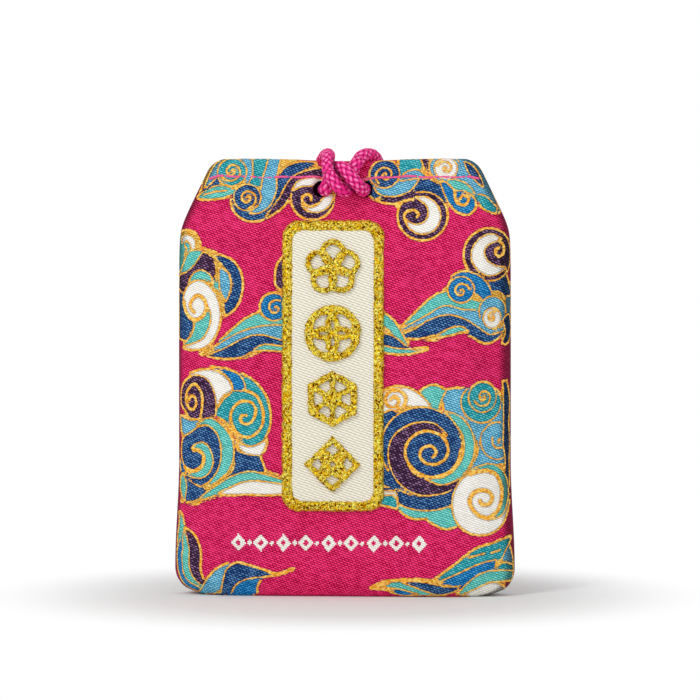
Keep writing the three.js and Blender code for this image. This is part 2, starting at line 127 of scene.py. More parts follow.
# The trial is held fast at its ends, firmly at its side seams, within these distances, and lightly elsewhere
END_HELD = 1.6
SEAM_HELD = 1.2
SEAM_HOLD = 0.75
LEAST_HOLD = 0.04

# Wrinkles of a panel, which fade at the foot and at the side seams
WRINKLE = 0.3
WRINKLE_SIZE = 9.0
WRINKLE_FOOT = 6.0
SEAM_FADE = 4.5
# The cloth is kept flat by the label in front, and behind by the loop's strands
LABEL_FLAT = 0.3
LABEL_FADE = 3.5
STRANDS_X = 0.5
STRANDS_HALF = 5.0
STRANDS_FADE = 4.0
# The hem stitches draw the cloth in, most of all where the thread goes through
STITCH_PULL = 0.1
STITCH_PINCH = 0.12
STITCH_REACH = 0.45

# Shapes are drawn this much larger, so that neighbours share one line
GROWN = 0.13
# Older outlines this close to a newer one are cleared
CLEARED = 0.34
# Lines inside the shapes are this much of their written width
THINNER = 0.72
# An outline reaches this much further over the ground
GROUND_SIDE = 0.12
# Raised edges of the woven shapes fall off within the root of this
EDGE_ROUND = 0.03
# A shape's line is looked for this far round it, and a place without one counts as far off
NEARBY = 1.6
FAR_OFF = 9.0
# Thread rows of the outlines, with the lengths of their steps and specks
OUTLINE_ROW = 0.16
OUTLINE_TOOTH = 0.5
OUTLINE_SPECK = 0.3

# Shade painted into the cloth's colours at the side seams, and how far in it falls
SHADE = 0.32
SHADE_EDGE = 0.7
SHADE_FADE = 1.7
SHADE_TOP = 56.0
SHADE_TOP_FADE = 8.0

# Short twill floats, and how the ends of crescents and curls narrow
TWILL_SLOPE = 0.36
TWILL_FLOAT = 1.95
CRESCENT_TAPER = 0.7
CURL_CLOSES = 0.93
CURL_POWER = 0.85

# Row of woven lozenges and dots near the foot, each with half its width and height
LOZENGES = 9
LOZENGE_X = -15.2
LOZENGE_Z = 7.9
LOZENGE_PITCH = 3.3
LOZENGE = (1.15, 1.25)
LOZENGE_EYE = (0.45, 0.5)
LOZENGE_DOT = (0.4, 0.42)

# Label
LABEL_X = -1.4
LABEL_WIDTH = 14.9
LABEL_HEIGHT = 42.4
LABEL_FOOT = 12.5
LABEL_CORNER = 2.4
LABEL_TUCK = 0.45
LABEL_THICKNESS = 0.2
LABEL_ROWS = 240
LABEL_COLUMNS = 81
FRAME_BAND = 1.45
FRAME_SPREAD = 0.14
FRAME_NARROWS = 0.8
FRAME_RISE = 0.62
FRAME_STEPS = 900
FRAME_BANDS = 17
SKIN_GAP = 0.1
FRAME_BED = 0.04
LABEL_BED = 0.14
LABEL_RISE = 0.26
LABEL_EDGE = 0.55
LABEL_RIM = 0.16

# Hem stitches
THREAD_RADIUS = 0.174
THREAD_SIDES = 7
STITCH_Z = 61.4
STITCH_PITCH = 2.35
STITCH_MARGIN = 0.8
STITCH_STEPS = 500
STITCH_END = 2.6
STITCH_DROP = 0.4
STITCH_SUNK = -0.12
STITCH_RISE = 0.32
STITCH_FULL = 2.2

# Lumps of gold thread and of cotton: height, size, seed and the level that counts as even
GOLD_LUMPS = ((0.26, 0.42, 11, 0.45), (0.14, 0.2, 12, 0.5))
COTTON_LUMPS = ((0.14, 2.6, 21, 0.6), (0.06, 0.8, 22, 0.5))

# Cord
CORD = 1.9
CORD_SIDES = 36
CORD_STEP = 0.12
HOLE_X = 3.2
HOLE_Z = 59.4
HOLE_RADIUS = 1.15
HOLE_ROLL = 0.5
HOLE_ROLL_DEPTH = 0.3
HOLE_PLAY = 0.35
HOLES_SHOWN = (-3.35, 3.1)
# Turned-in cloth of a hole, whose deepest rings close it as a dark floor coloured with painted shade:
# distance from its middle and rise over the cloth
HOLE_PROFILE = (
    (HOLE_RADIUS + 0.1, -0.03), (HOLE_RADIUS + 0.03, 0.03), (HOLE_RADIUS - 0.04, 0.02),
    (HOLE_RADIUS - 0.06, -0.25), (HOLE_RADIUS - 0.06, -1.05), (0.5, -1.2), (0.05, -1.2),
)
ON_CLOTH = 1.1
ON_STITCH = 1.62
TURN_Z = 62.65
TURN_RADIUS = 2.45
ARC_DIP = 0.6
LEFT_BACK_X = -3.6
RIGHT_BACK_X = 4.7
BACK_DEGREES = 168
KNOT_FOOT = 11.5
KNOT_TOP = 18.1
KNOT_Z = (KNOT_FOOT + KNOT_TOP) / 2
KNOT_LIFT = 3.35
KNOT_SIZE = 0.86
KNOT_DEPTH = 1.0
KNOT_RISE = 0.3
STRAND_GAP = 1.1
# Painted shade where cords lie close: its colour, how far it reaches, and how far along its own cord a part
# counts as another
CREVICE_SHADE = (84, 0, 36)
CREVICE_REACH = 1.1
OWN_CREVICE = 3.0
BRAID_STRANDS = 6
BRAID_CORE = 0.92
BRAID_RELIEF = 0.12
BRAID_LAY = 6.6
BRAID_ROUND = 0.8

# Stage, in metres and degrees, and the sensor's width in millimetres
CAMERA_AIM = (0.00102, -0.003, 0.036)
CAMERA_AZIMUTH = 4.0
CAMERA_ELEVATION = 2.0
SENSOR = 36
LAMP_AIM = (0, 0, 0.034)
# The floor turns from shaded to plain white between these distances, in millimetres
FLOOR_SHADED = 26.0
FLOOR_WHITE = 55.0

COLOUR_NAMES = ("ground", "navy", "blue", "sky", "teal", "aqua", "plum", "white", "outline")
# The painted highlight colour of each woven colour, as it is seen, and how high a thread must lie to show it
FLOAT_HIGHLIGHTS = {
    "ground": ((255, 64, 134), 0.58),
    "navy": ((96, 148, 196), 0.74),
    "blue": ((76, 168, 222), 0.74),
    "sky": ((150, 218, 242), 0.7),
    "teal": ((116, 210, 212), 0.78),
    "aqua": ((140, 232, 220), 0.74),
    "plum": ((158, 118, 160), 0.8),
    "white": ((255, 255, 252), 0.5),
    "outline": ((255, 226, 124), 0.66),
}

# The clouds, in groups, later shapes over earlier ones. A shape is its kind, its colour or the width of its
# line, and its points x,z with a star at sharp corners, x,z,width for a ribbon; or for a disc x, z and
# radius, for an arc x, z, radius, start, end and width, for a curl x, z, radius, turns, start and hand.
KINDS = ("blob", "patch", "ribbon", "line", "disc", "arc", "curl")
CLOUDS = {
    "top_left": """
    blob outline -21.4,60.6* -19.6,64.6* -17.2,64.6* -18.4,62.6 -19,61.3
    blob outline -12.8,64.7* -11.6,63.5 -10,63.6 -8.8,62.9 -8,63.5 -6,64.7*
    blob navy -21.3,59.2* -20.3,60.7 -18.6,61.4 -18.3,60.3 -19.6,59.7*
    blob aqua -21.7,58.4* -20.4,59.4 -18.7,60 -17.1,59.8 -15.8,59.3* -17.1,58.5 -18.9,58.2 -20.6,58.2
    line 0.4 -20.6,58.8 -18.9,59.2 -17.1,59.3
    blob sky -20.6,59.9* -19.6,62.3 -18.4,64.1* -18.4,62.1 -19.1,61.1
    blob sky -15.3,64.4* -14,64.4* -13.4,63.2 -13.5,61.7 -14.1,60.4* -14.5,62.1
    blob teal -13.3,64.4* -11.2,64.4* -10.9,63.1 -11.8,61.7 -12.2,60.1* -13.9,60.2* -13.2,61.7
    disc teal -16.4 62.2 2.2
    curl 0.42 -16.4 62.3 1.7 1.8 200 1
    ribbon navy -4.2,63.7,0.2 -6.4,63.2,1.2 -8,62.1,1.9 -9,60.6,1.5 -9.6,58.2,1.7 -11.4,56.3,1.9
        -13.8,55.9,1.9 -15.5,57.2,1.4 -16,58.8,0
    ribbon plum -2.2,62.7,1.1 -4.5,62.1,1.3 -6.7,61.2,1.3 -8,59.6,1 -8.8,57.9,1 -10,56.6,0.7 -11.2,55.4,0
    ribbon sky -10.1,64.8,1.5 -10.4,63.2,1.6 -10.8,61.3,1.8 -10.9,59.5,2 -11.6,57.5,1.7 -13.1,56.4,0.9
        -14.7,56.6,0
    disc navy -14 58.3 2
    curl 0.42 -14 58.2 1.5 1.7 -80 1
    disc plum -4.5 58.2 3.1
    blob white -7.4,59.4* -6.5,60.9 -4.8,61.5 -3,61.2* -3.2,60.5 -4.6,60.3 -6.2,60.2
    blob white -6,57.3* -5.2,56.5 -3.7,56.3 -2.2,57.1 -1.4,58.8* -2.7,58.4 -3.5,57.4 -4.8,56.9
    line 0.6 -3.8,57.4 -4.9,57 -5.8,57.6 -6,58.4 -5.3,58.9 -4.7,58.6 -4.7,58
    """,
    "top_right": """
    blob sky 15.8,64.6* 19,64.6* 21.5,60.5* 23.2,56.3* 21.8,56.1* 20,57.3 19.2,58.4* 18.1,59.9 16.5,60.8
        15.2,61* 16.4,61.8 16.7,63
    blob teal 19.1,58.6* 20.6,58.5 22.6,56.8* 22.3,56.1* 20.4,56.8
    blob navy 17.7,63.7* 18.9,63 19.9,61.5 20.4,60.1* 19.3,61 18.3,62.2
    ribbon navy 3.5,61.5,0 4,59.7,1.1 5.7,58.5,1.3 7.7,58.9,1.3 9.5,59.8,1.7 11.7,60.2,2 13.7,59.2,1.6
        14.9,57.5,0
    ribbon plum 4.8,58.1,0 7,58,0.8 9.1,58.5,1 11.5,58.7,1 13,58.2,0
    disc plum 11.6 55.6 3.6
    patch plum 8.2,58* 9.3,58.1 10.8,58.3 12.3,58.3* 12.2,58.8 10.6,59 9,58.7
    line 0.6 7.9,57.2 9.2,57.9 10.8,58.1
    blob white 10.6,58.4* 12.3,58.2 13.7,57 14.1,55.2 13.3,53.6 11.6,53 10,53.6 9.1,54.9* 10.5,54.2
        11.8,54.5 12.5,55.6 12.3,57 11.4,57.9
    line 0.6 9.2,54.8 8.9,55.5 9.3,56.2 10.3,56.4 11,55.9 10.8,55.4
    blob teal 8.1,64.4* 9.7,64.4 11.2,64.4* 11.2,62.8 9.3,62.5 8.3,61.4*
    blob plum 11.3,64.4* 12.2,64.4* 12.2,63.4 12,62.4* 11.7,63.4
    blob sky 8.3,61.3* 9.3,62.3 10.8,62.5 12.2,61.4* 10.2,61.1
    ribbon sky 4.4,60.5,0 5.7,59.7,1.5 7.5,59.6,1.8 9.3,60.2,1.6 11,61.2,0
    disc navy 6 62.1 2.2
    curl 0.42 6.1 62 1.6 1.6 235 -1
    disc sky 14.7 63 2.2
    disc white 14.9 62.8 1.7
    curl 0.42 14.9 62.8 1.2 1.3 160 -1
    blob aqua 15,60.9* 16.6,60.8 18.2,60 19,58.9* 17.9,59.2 16.4,59.3
    blob blue 14.2,60.7* 15,60.4 16.2,59.3 17.6,59.1 18.8,58.2 19.1,56.9 18.2,55.9 16.8,56.2 15.6,57.4
        14.8,59
    line 0.6 16.2,59.2 16.3,58.2 16.6,57.5 17.4,57.1 18.1,57.6 18.1,58.3 17.4,58.6 17,58.1
    """,
    "right_wave": """
    ribbon sky 25.8,45.5,0.7 24.8,42.6,1.3 24.5,40.4,1.3 24.8,37.8,0
    blob navy 19,46.3* 21.6,45.8 24.2,46.8* 25.6,44* 24,44 22.6,43.3* 20.9,43.7
    disc plum 21.4 49.9 3.8
    blob white 23.2,52.2* 21.6,52.8 20,52.2 18.9,50.7 18.9,48.9 20.1,47.4 21.8,47 24.1,48* 22.3,48.2 20.9,49
        20.4,50.3 21,51.4 22,51.9
    line 0.6 22.8,52 23.6,51.3 23.7,50.3 23,49.7 22.3,50 22.3,50.7 22.8,50.9
    blob outline 8.2,38.1* 11.4,41.4 14,43.9 17.4,46.9 21,44.9 23.8,44 24.4,40 23.4,38.2 21.4,37.2 19.2,38
        17.4,38.9 15.4,38.4 13.6,37.6 10.7,37.7
    ribbon sky 8.6,38.9,0 11.2,40.4,0.9 13.4,41.6,1.4 16,41.8,2 18.5,40.9,2.4 20.5,38.9,1.8 22.3,38.2,1.3
        24,39.7,0
    ribbon aqua 8.8,39.4,0 11.6,41.5,1.1 13.8,43.1,1.6 15.6,43.5,1.8 17.8,42.8,1.5 20.2,42.6,0.9 21.1,43.3,0
    ribbon navy 8.3,38.2,0 10.7,38.4,1.2 12.9,39.3,2 15.2,40.2,1.7 17.4,39.8,1.4 19.2,38.7,1.4 21.4,37.7,1
        24,38.7,0
    ribbon aqua 13.8,38,0 15.6,38.7,0.7 17.1,39.1,0.6 18.2,38.7,0
    ribbon blue 16,46.6,0 17.4,46.8,1.1 19.2,45.9,2 20.7,44.4,1.8 21.8,43.1,0
    disc blue 17.2 44.8 1.9
    curl 0.42 17.2 44.6 1.3 1.35 10 1
    disc sky 22 41.7 2.2
    disc white 21.9 40.7 1.5
    curl 0.42 21.9 40.8 0.9 1.2 60 1
    blob navy 23.8,40.4* 24.9,41.1 25.6,39.3* 24.9,37.3 23.8,37.1* 24.3,38.7
    """,
    "wave_tip": """
    ribbon aqua 3.6,42.6,1.3 5.4,40.9,1.5 7,39.7,1.3 8.3,38.2,0.8 9.5,36.8,0
    ribbon navy 3.9,38,1.1 5.8,37.7,1.4 7.4,37.1,1.4 9.2,36.3,0.6 10.9,36,0
    ribbon aqua 4.3,36.3,0.5 5.8,36.2,0.7 7.9,35.9,0.6 10.1,35.9,0.4 12.4,36.3,0
    """,
    "left_scroll": """
    blob outline -20.4,50.8* -18.5,50.1 -17.6,48.6 -17.2,46 -17.4,43.2 -17.2,40.9* -17.9,41.4 -18.1,43.6
        -19,45 -18.3,46.4 -18.6,48.3 -19.4,49.6
    ribbon outline -24.7,52.9,0.4 -23.2,53.1,0.5 -21.9,52.6,0.6 -21.4,51.4,0.6 -21.6,50.7,0.5
    blob aqua -25.2,53.1* -24,52.2 -23.8,50.2 -24.6,47.5* -25.5,48.2
    ribbon white -24.3,52,0.5 -23.2,52.3,0.9 -22.3,51.8,0.9 -22.1,50.7,0
    ribbon aqua -23.5,51.7,0.4 -23.1,51.1,0.6 -23.1,50.3,0
    blob aqua -24.8,46.9* -23.7,48.8 -22.6,50.3 -20.7,50.4* -21.3,49.1 -23.1,47.5*
    blob plum -20.4,50.2* -19.1,49.4 -18.6,48 -18.6,46.3* -19.6,47.4 -20.9,47.9 -22.3,47.1 -23.3,45.6
        -24,44.6 -25.2,44.4* -25,46.6 -23.2,47.3 -21.6,48.5
    blob navy -18.7,49.7* -17.3,49.5 -15.8,48.6 -14.8,46.7 -14.8,44.4 -15.6,42.3 -17,41.1* -17.2,42.7*
        -16.4,43.6 -15.9,45.4 -16.3,47.2 -17.3,48.3
    blob aqua -18.8,46.1* -18.2,45.7 -17.8,44.6* -18.5,45
    blob sky -17.9,48* -16.7,47 -16.4,45.2 -17,43.2* -17.7,44.7 -17.9,46.4
    blob aqua -22.8,46* -21.9,47.1 -20.7,47.5 -19.5,46.9 -18.9,45.8* -20.1,46.3 -21.4,46.4
    blob navy -25.2,44.8* -24.2,43.9* -24,42 -23.3,40.7 -22.3,40.2* -22.5,39 -23.6,37.4* -25.2,37.7*
    blob aqua -20,42.9* -19.2,41 -19.7,38.8 -21.4,37.2 -23.9,36.9* -22.5,38 -21.9,39.3 -21.9,40.3*
        -20.6,40.9
    blob white -24,42.8 -23.4,44.8 -21.5,46 -19.6,45.3 -18.2,43.2 -17.9,40.6 -18.6,38.2 -20.2,36.6 -22,36.1
        -24,36.3* -22,36.9 -20.3,37.8 -19.2,39.8 -19.2,41.6 -20,43* -20.4,41.2 -21.6,40.5 -23,41
    line 0.8 -23.9,43 -23.6,41.6 -22.7,40.6 -21.5,40.4 -20.4,41 -19.9,42.2 -20.3,43.3 -21.3,43.9 -22.3,43.4
        -22.7,42.3 -22.1,41.5
    blob plum -8.4,49.7* -9.5,48.2 -9.6,45.5 -8.4,44.8*
    blob outline -21.1,35.4* -17.8,37.2 -12.3,41.2 -8,40.4* -8,35.8* -11.6,35.8 -14.5,34.9 -17.2,34.7
    blob aqua -18.2,36.9* -16.3,38.6 -14.3,40.3 -12.3,41.3* -11,40.4 -8,40.4* -8,39.7* -11.5,39.5 -13.8,39
        -16,38
    blob sky -19,36.1* -16.3,37.8 -13.8,38.9 -11.5,39.4 -8,39.6* -8,37.1* -10.5,37.9 -12.6,38.2 -14.6,37.5
        -16.8,36.3
    blob navy -19.6,35.2* -17,36.2 -14.8,37.4 -12.6,38.1 -10.5,37.8 -8,37* -8,36.7* -10.5,37 -12.6,36.2
        -14.8,35.1 -17.2,34.9
    ribbon aqua -12.9,35.9,0 -11.3,36.4,0.6 -8,36.1,0.4
    disc blue -10 42.3 2
    curl 0.42 -9.8 42.1 1.3 1.2 60 1
    """,
    "low_left": """
    blob outline -24.6,13.7* -22,13.4 -20,14.1 -17,14.9 -13.5,14.9 -8.4,14.9* -8.4,17.3* -12,18.7 -15,19.4
        -17,18.2 -19.5,17.6 -24,18.4*
    blob sky -24.8,26.2* -22.6,25.4 -21.6,25.7* -22.4,24.3 -24.4,23.6*
    blob white -22.8,32.4* -20.4,33 -18.2,32.6 -16.7,31.4 -16.2,30.2* -17.3,29.5 -18.3,28.2* -18.7,30.3
        -19.9,31.7 -21.4,32.1
    blob teal -14.8,32.5* -13,31.4 -11.4,29.5 -10.7,27 -10.8,24.7 -11.8,22.9 -13.2,22.2 -14.8,22.9
        -16.2,24.8 -17.1,25.8 -18.4,26.5* -17.4,28.5 -15.6,30 -14.3,30.5*
    blob blue -19.1,33.4* -16.9,33.1 -15.1,32.3 -14.3,30.9 -14.4,30.2* -15.8,30.2* -16.2,31.5 -17.3,32.7
    line 0.6 -14.3,30.2 -12.4,29.2 -11.5,26.7 -12,24.5 -13.6,23.3 -15.2,23.8 -16.2,25.6 -16.1,27.2 -15,28.4
        -13.6,28.5 -12.7,27.7 -12.7,26.5 -13.2,25.6 -14,25.2 -14.8,25.7 -14.7,26.4 -14,26.5
    blob white -15.6,22.6* -14.3,22 -12.9,21.9 -11.1,22.8* -11.6,21.3 -12.8,20.6 -14.3,21.3
    blob navy -15.6,21.4* -13.9,20.7 -12.1,20.5* -11.3,18.3* -13.9,18.3 -16.9,17* -15.7,18.9
    blob plum -24.6,28.5 -24.1,30.8 -22.5,32 -20.8,32 -19.4,31 -18.6,28.8 -18.6,26.5* -21,26* -22.6,26
        -23.7,27
    line 0.6 -21.1,25.9 -20.7,28 -20.9,29.8 -22,30.9 -23.1,30.4 -23.7,28.9 -23.2,27.5 -22.4,27.2 -21.8,28
        -22.1,29 -22.8,29.2 -23.1,28.6
    blob navy -24,17.4* -21.9,16.5 -20,15.5* -21.7,14.1 -23.5,13.7* -23.8,15.4
    blob blue -25,19.6* -23.8,18.9* -24.4,17.1*
    ribbon aqua -24.4,17.8,0 -24.2,16,1.1 -24,13.8,0
    ribbon aqua -21.3,25.2,0 -19.5,25.5,0.8 -17.9,24.4,1.2 -16.8,22.5,1.4 -16.7,20.4,1.4 -17.5,18.4,1.2
        -19.5,16.1,0
    blob navy -22.8,23.7 -21.4,24.6 -19.7,24.7 -18.3,23.3 -17.8,21 -18.2,18.7 -19.5,16.9 -21,16.1* -23,17
        -23.8,18.6 -24.5,20.8 -24.2,22.8
    blob aqua -22.6,21.5* -21.6,22.2 -20.3,22.2 -19.3,21.1 -19,19.5 -19.8,17.9 -21.2,17.3 -23.2,17.6*
        -21.8,18.2 -20.7,19.1 -20.4,20.3 -21.2,21.2
    line 0.8 -22.3,21.3 -21.2,21.2 -20.4,20.4 -20.6,19.2 -21.6,18.4 -22.8,18.2 -24,18.7
    blob aqua -21,14.1* -18.8,15.8 -16.6,17.2 -14.6,18 -12.6,18.1 -8.4,16.9* -8.4,16.3* -12,16.9 -14.2,16.8
        -16.4,16 -18.8,14.8
    blob white -18,15.1* -16.2,15.9 -14.2,16.7 -12,16.8 -8.4,16.2* -8.4,15.1* -11,15 -13.6,15.1 -16,15
    """,
    "back_ends": """
    disc white -7.3 47.2 2.3
    curl 0.6 -7.3 47.2 1.6 1.7 200 1
    disc teal -8.3 42.7 2.5
    curl 0.42 -8.3 42.7 1.7 1.8 200 1
    disc plum -7.6 38.3 2.1
    curl 0.42 -7.6 38.3 1.5 1.6 200 1
    disc sky -4.5 24.8 2.1
    curl 0.42 -4.5 24.8 1.5 1.6 200 1
    disc white -5 20.7 2.3
    curl 0.6 -5 20.7 1.6 1.7 200 1
    disc teal -4.4 16.8 1.9
    curl 0.42 -4.4 16.8 1.3 1.5 200 1
    """,
    "low_right_top": """
    blob sky 14.6,29.9* 16.1,30.4 17.7,30.4 20.6,30.1 24.1,27.6 25,24.3 24.8,19.4* 22.5,19.4 18.6,18.4*
        19.9,21.7 18.6,24.8 15,26.8*
    blob aqua 11.5,30.1* 13.2,30.9 15,30.2* 14.2,28.6 13.9,27.1* 12.8,28.3
    blob white 5,29.4* 7.5,30.6 9.7,30.4 11.5,29.3 12.8,28* 9.3,28 7,27.1 5,25.9*
    line 0.7 9,27.9 9.3,29 8.6,30 7.4,30.2 6.4,29.5 6.3,28.4 7.1,27.7 8,28 8.2,28.8 7.6,29.3 7.1,28.9
    arc teal 20.4 28.95 2.65 150 385 1.4
    disc teal 20.5 29.2 2.2
    curl 0.42 20.6 29.2 1.5 1.7 200 1
    disc sky 22.9 22.8 2.7
    curl 0.42 23.3 22.6 1.3 1.2 150 1
    """,
    "right_strip": """
    ribbon navy 24.2,31.4,0.5 24.6,28.5,1.1 24.5,25.5,0.8 24.6,22.5,1.1 24.7,20,0.6 24.7,17,0.8 24.9,14.5,0
    """,
    "low_right": """
    blob navy 4.9,26* 7.4,27.2 9,25 8,21.5 8.6,17.5 9.6,15.2 5.2,15.6*
    disc navy 11.5 21.9 5.9
    blob navy 5.9,16.4* 6,15.8* 8.1,15.7* 10.4,14.8 13.3,14.8 16.3,15.9* 15.9,13.9 13.3,12.8 10.2,12.9
        8.3,14.1* 8.1,15.7*
    ribbon plum 15.2,23.7,0 13,24.9,1 10.4,24.5,1.5 8.3,22.8,2 8,20.3,2.3 9.1,17.7,2.3 11.5,16.2,2.2
        14.1,16,1.5 16.1,16.5,0.9 17.4,17.2,0
    ribbon aqua 15,27.1,0 16.8,25.9,1 18.1,24.1,1.2 18.5,22.1,1.3 18,19.9,1.2 16.6,18,1.1 14.4,17,0.8
        12.1,17.5,0
    line 0.6 17.2,21.6 16.9,20.2 15.7,18.5 13.2,17.6 10.8,18.4 9.3,20.4 9.4,22.4 10.8,23.9 12.6,24.3
        14.4,23.6 15.4,22 15,20.3 13.6,19.5 12.1,19.7 11.3,20.8 11.8,21.9 13,22.1 13.7,21.3 13.2,20.5
    blob aqua 8,13.6* 10.2,12.8 13,12.6 15.6,13.2* 16.9,10.7* 15.2,10.2 13.7,10.7 12.2,11.7* 10.4,11.7
        8.8,12.5
    blob white 5.8,15.4* 7.5,15.4 7.9,14.8* 5.9,14.6*
    blob teal 5.3,13.7* 6.2,14.7 7.6,14.6 8,13.1*
    blob white 17.6,17.4 16.4,15.5 16.1,13.4 16.6,11.3 18.1,9.8 20.3,9.3 22.6,10 24.1,11.6 25,14* 24.3,15
        23.6,17 21.6,18.3 19.4,18.3
    ribbon aqua 18.4,18.4,0 20.6,18.9,0.7 22.6,18.6,1 23.9,17.1,1 24.3,15.1,0.9 23.8,13.2,0.8 22.9,12.1,0.7
        21.2,11.4,0
    line 0.85 18.6,18.1 20.8,18.5 22.6,17.9 23.5,16.2 23.5,14.2 22.8,12.6 21.5,11.7 20.2,11.8 19,12.8
        18.5,14.2 19.1,15.3 20.3,15.7 21.5,15.3 21.9,14.4 21.3,13.6 20.4,13.6 20,14.1
    """,
    "foot_left": """
    ribbon aqua -24.9,12.1,0 -24.4,10.5,0.8 -24.8,8.1,0.7 -25.2,6.3,0
    ribbon blue -23.9,8.7,0 -24.5,6.5,1.2 -24.2,3.9,1.2 -23,1.7,1.2 -21,0.7,0
    ribbon aqua -23.9,9.7,0 -23.3,7.2,1.1 -23.2,5,1.3 -22.6,2.8,1.1 -20.3,1.1,0
    ribbon plum -23.8,9.8,0 -22.3,8.3,1.3 -21.7,6.3,1.7 -21.6,3.9,1.4 -20.7,2.2,0.7 -19.4,2,0
    ribbon sky -16.5,4.5,0.7 -17.9,3.2,1.6 -19.1,1.6,2 -20.7,0.3,1.3 -23,-0.3,0
    blob blue -17,-0.4* -15.4,1.9 -13.6,2.7 -11.6,3.1* -12.6,1.6 -12.9,-0.4*
    blob navy -18.3,-0.4* -17.4,2.1 -16.8,3.9 -15.4,4.8 -13.2,4.3 -9.9,3.3* -12.1,3 -14.3,2.6 -15.9,1.6
        -17,-0.4*
    line 0.5 -10.3,3.2 -8.8,3.5 -7.2,4.1
    """,
    "foot_right": """
    blob sky 23.2,5.6* 24.5,7.6 25.7,5*
    blob teal 13.5,2.6* 16.4,4.7 19.2,6.9 21.9,7.8 25.2,8.7* 23.2,5.6* 20.1,4.9 17.4,3.7
    line 0.4 18.4,5.9 20.6,6.5
    line 0.4 21.7,6.5 23.2,6.9
    blob teal 21.9,3.5* 23.4,4.9 25.6,4.5* 25.6,3*
    blob blue 14.3,2.3* 17.4,3.7 20.1,4.9 22.3,5.4* 21.8,3.4* 19.2,2.8 17.4,1.7*
    ribbon aqua 6.2,1.7,0 8.2,1.9,1 10.4,1.2,1.2 12.6,0.6,1 14.8,0.3,0
    ribbon blue 6.6,1.3,0 8.8,0.6,0.8 11,0.3,0
    ribbon navy 8.8,2.4,0 11.9,1.7,1 14.6,1,1.2 17.5,1.6,0
    blob white 17.9,-0.1* 20.1,1.6 22.5,2 24.6,1* 24.3,-0.8 21,-1.2 18.8,-0.8
    ribbon aqua 17,0.1,0 18.8,1.8,1.2 21.4,3.1,1.4 25.6,3,1.2
    line 0.55 4.2,1.4 6.4,2.3 10.4,2.6 13.7,2.5
    line 0.4 4.2,1.4 5.9,1.2 7.5,0.9
    """,
}


def linear(colour):
    """A colour as it is seen, 0 to 1, as Blender's linear numbers."""
    c = np.asarray(colour, float)
    return np.where(c <= 0.04045, c / 12.92, ((c + 0.055) / 1.055) ** 2.4)


def shown(red, green, blue):
    """A colour as it is seen, given from 0 to 255."""
    return (red / 255, green / 255, blue / 255)


def dyed(red, green, blue):
    """The linear numbers of a colour as it is seen, given from 0 to 255."""
    return tuple(linear(shown(red, green, blue)))


def tint(name, colour, text):
    """A colour setting, given as it is seen."""
    return FloatVectorProperty(
        name=name, description=text, subtype="COLOR", default=shown(*colour), min=0, max=1
    )


def measure(name, value, text, least=0.1):
    """A length setting, given in millimetres."""
    return FloatProperty(name=name, description=text, default=value * MM, unit="LENGTH", min=least * MM)


def strength(name, value, text):
    """A setting for the power of a light."""
    return FloatProperty(name=name, description=text, default=value, min=0)


class CharmBagCloth(bpy.types.PropertyGroup):
    """Colours and sizes of the brocade."""

    ground: tint("Ground", (211, 2, 75), "Colour of the brocade's ground")
    navy: tint("Navy", (22, 62, 122), "Darkest blue of the clouds")
    blue: tint("Blue", (8, 120, 192), "Bright blue of the clouds")
    sky: tint("Sky", (92, 178, 216), "Light blue of the clouds")
    teal: tint("Teal", (34, 168, 182), "Teal of the clouds")
    aqua: tint("Aqua", (100, 211, 201), "Pale green of the clouds")
    plum: tint("Plum", (62, 36, 66), "Dark violet of the clouds")
    white: tint("White", (247, 241, 226), "White of the clouds")
    outline: tint("Outline", (250, 174, 48), "Thread that outlines the clouds")
    label: tint("Label", (248, 244, 228), "Ground of the label")
    twill: measure("Twill", 0.33, "Distance between the twill's lines")
    outline_width: measure("Outline width", 0.215, "Width of the outlines")
    relief: measure("Relief", 0.07, "How far the clouds stand off the ground", 0)


class CharmBagTrim(bpy.types.PropertyGroup):
    """Colours and sizes of the cord, gold and thread."""

    cord: tint("Cord", (250, 34, 142), "Colour of the braided cord")
    # Colour of the painted glints on the cord's raised fibres
    cord_highlight: tint("Cord light", (255, 176, 224), "Raised fibres of the braided cord")
    gold: tint("Gold", (234, 160, 6), "Colour of the gold thread")
    # The gold thread's bright and dark specks are painted reflection on its facets
    gold_light: tint("Gold light", (255, 220, 16), "Bright specks of the gold thread")
    gold_dark: tint("Gold dark", (92, 48, 0), "Dark specks of the gold thread")
    stitches: tint("Stitches", (250, 70, 150), "Colour of the hem stitches")
    grain: measure("Gold grain", 0.3, "Size of the gold thread's specks")


class CharmBagStage(bpy.types.PropertyGroup):
    """Lamps and camera."""

    distance: measure("Camera distance", 550.0, "From the object to the camera", 200.0)
    width: measure("Framed width", 102.06, "Width that the picture shows at the object", 50.0)
    key: strength("Key lamp", 1.15, "Strength of the key lamp")
    fill: strength("World light", 0.66, "Strength of the even light")


# Shape of the pouch


def smooth(t):
    """0 below 0, 1 above 1, smooth between."""
    t = np.clip(t, 0, 1)
    return t * t * (3 - 2 * t)


def runs(line):
    """How far along a line each of its points lies."""
    steps = np.linalg.norm(np.diff(line, axis=0), axis=1)
    return np.concatenate([[0], np.cumsum(steps)])


def half_width(z):
    """Half the pouch's width at a height."""
    z = np.asarray(z, float)
    side = POUCH_HALF - SIDE_TUCK * smooth((z - BASE_CORNER) / (WAIST_HEIGHT - BASE_CORNER))
    above = z - (POUCH_HEIGHT - SHOULDER_DROP)
    clipped = POUCH_HALF - SIDE_TUCK - SHOULDER_CLIP / SHOULDER_DROP * above
    half = (side + clipped) / 2 - np.hypot((side - clipped) / 2, SHOULDER_SOFTNESS)
    low = np.clip(BASE_CORNER - z, 0, BASE_CORNER)
    half = half - (BASE_CORNER - np.sqrt(BASE_CORNER**2 - low**2))
    high = np.clip(z - (POUCH_HEIGHT - TOP_CORNER), 0, TOP_CORNER)
    return half - (TOP_CORNER - np.sqrt(TOP_CORNER**2 - high**2))


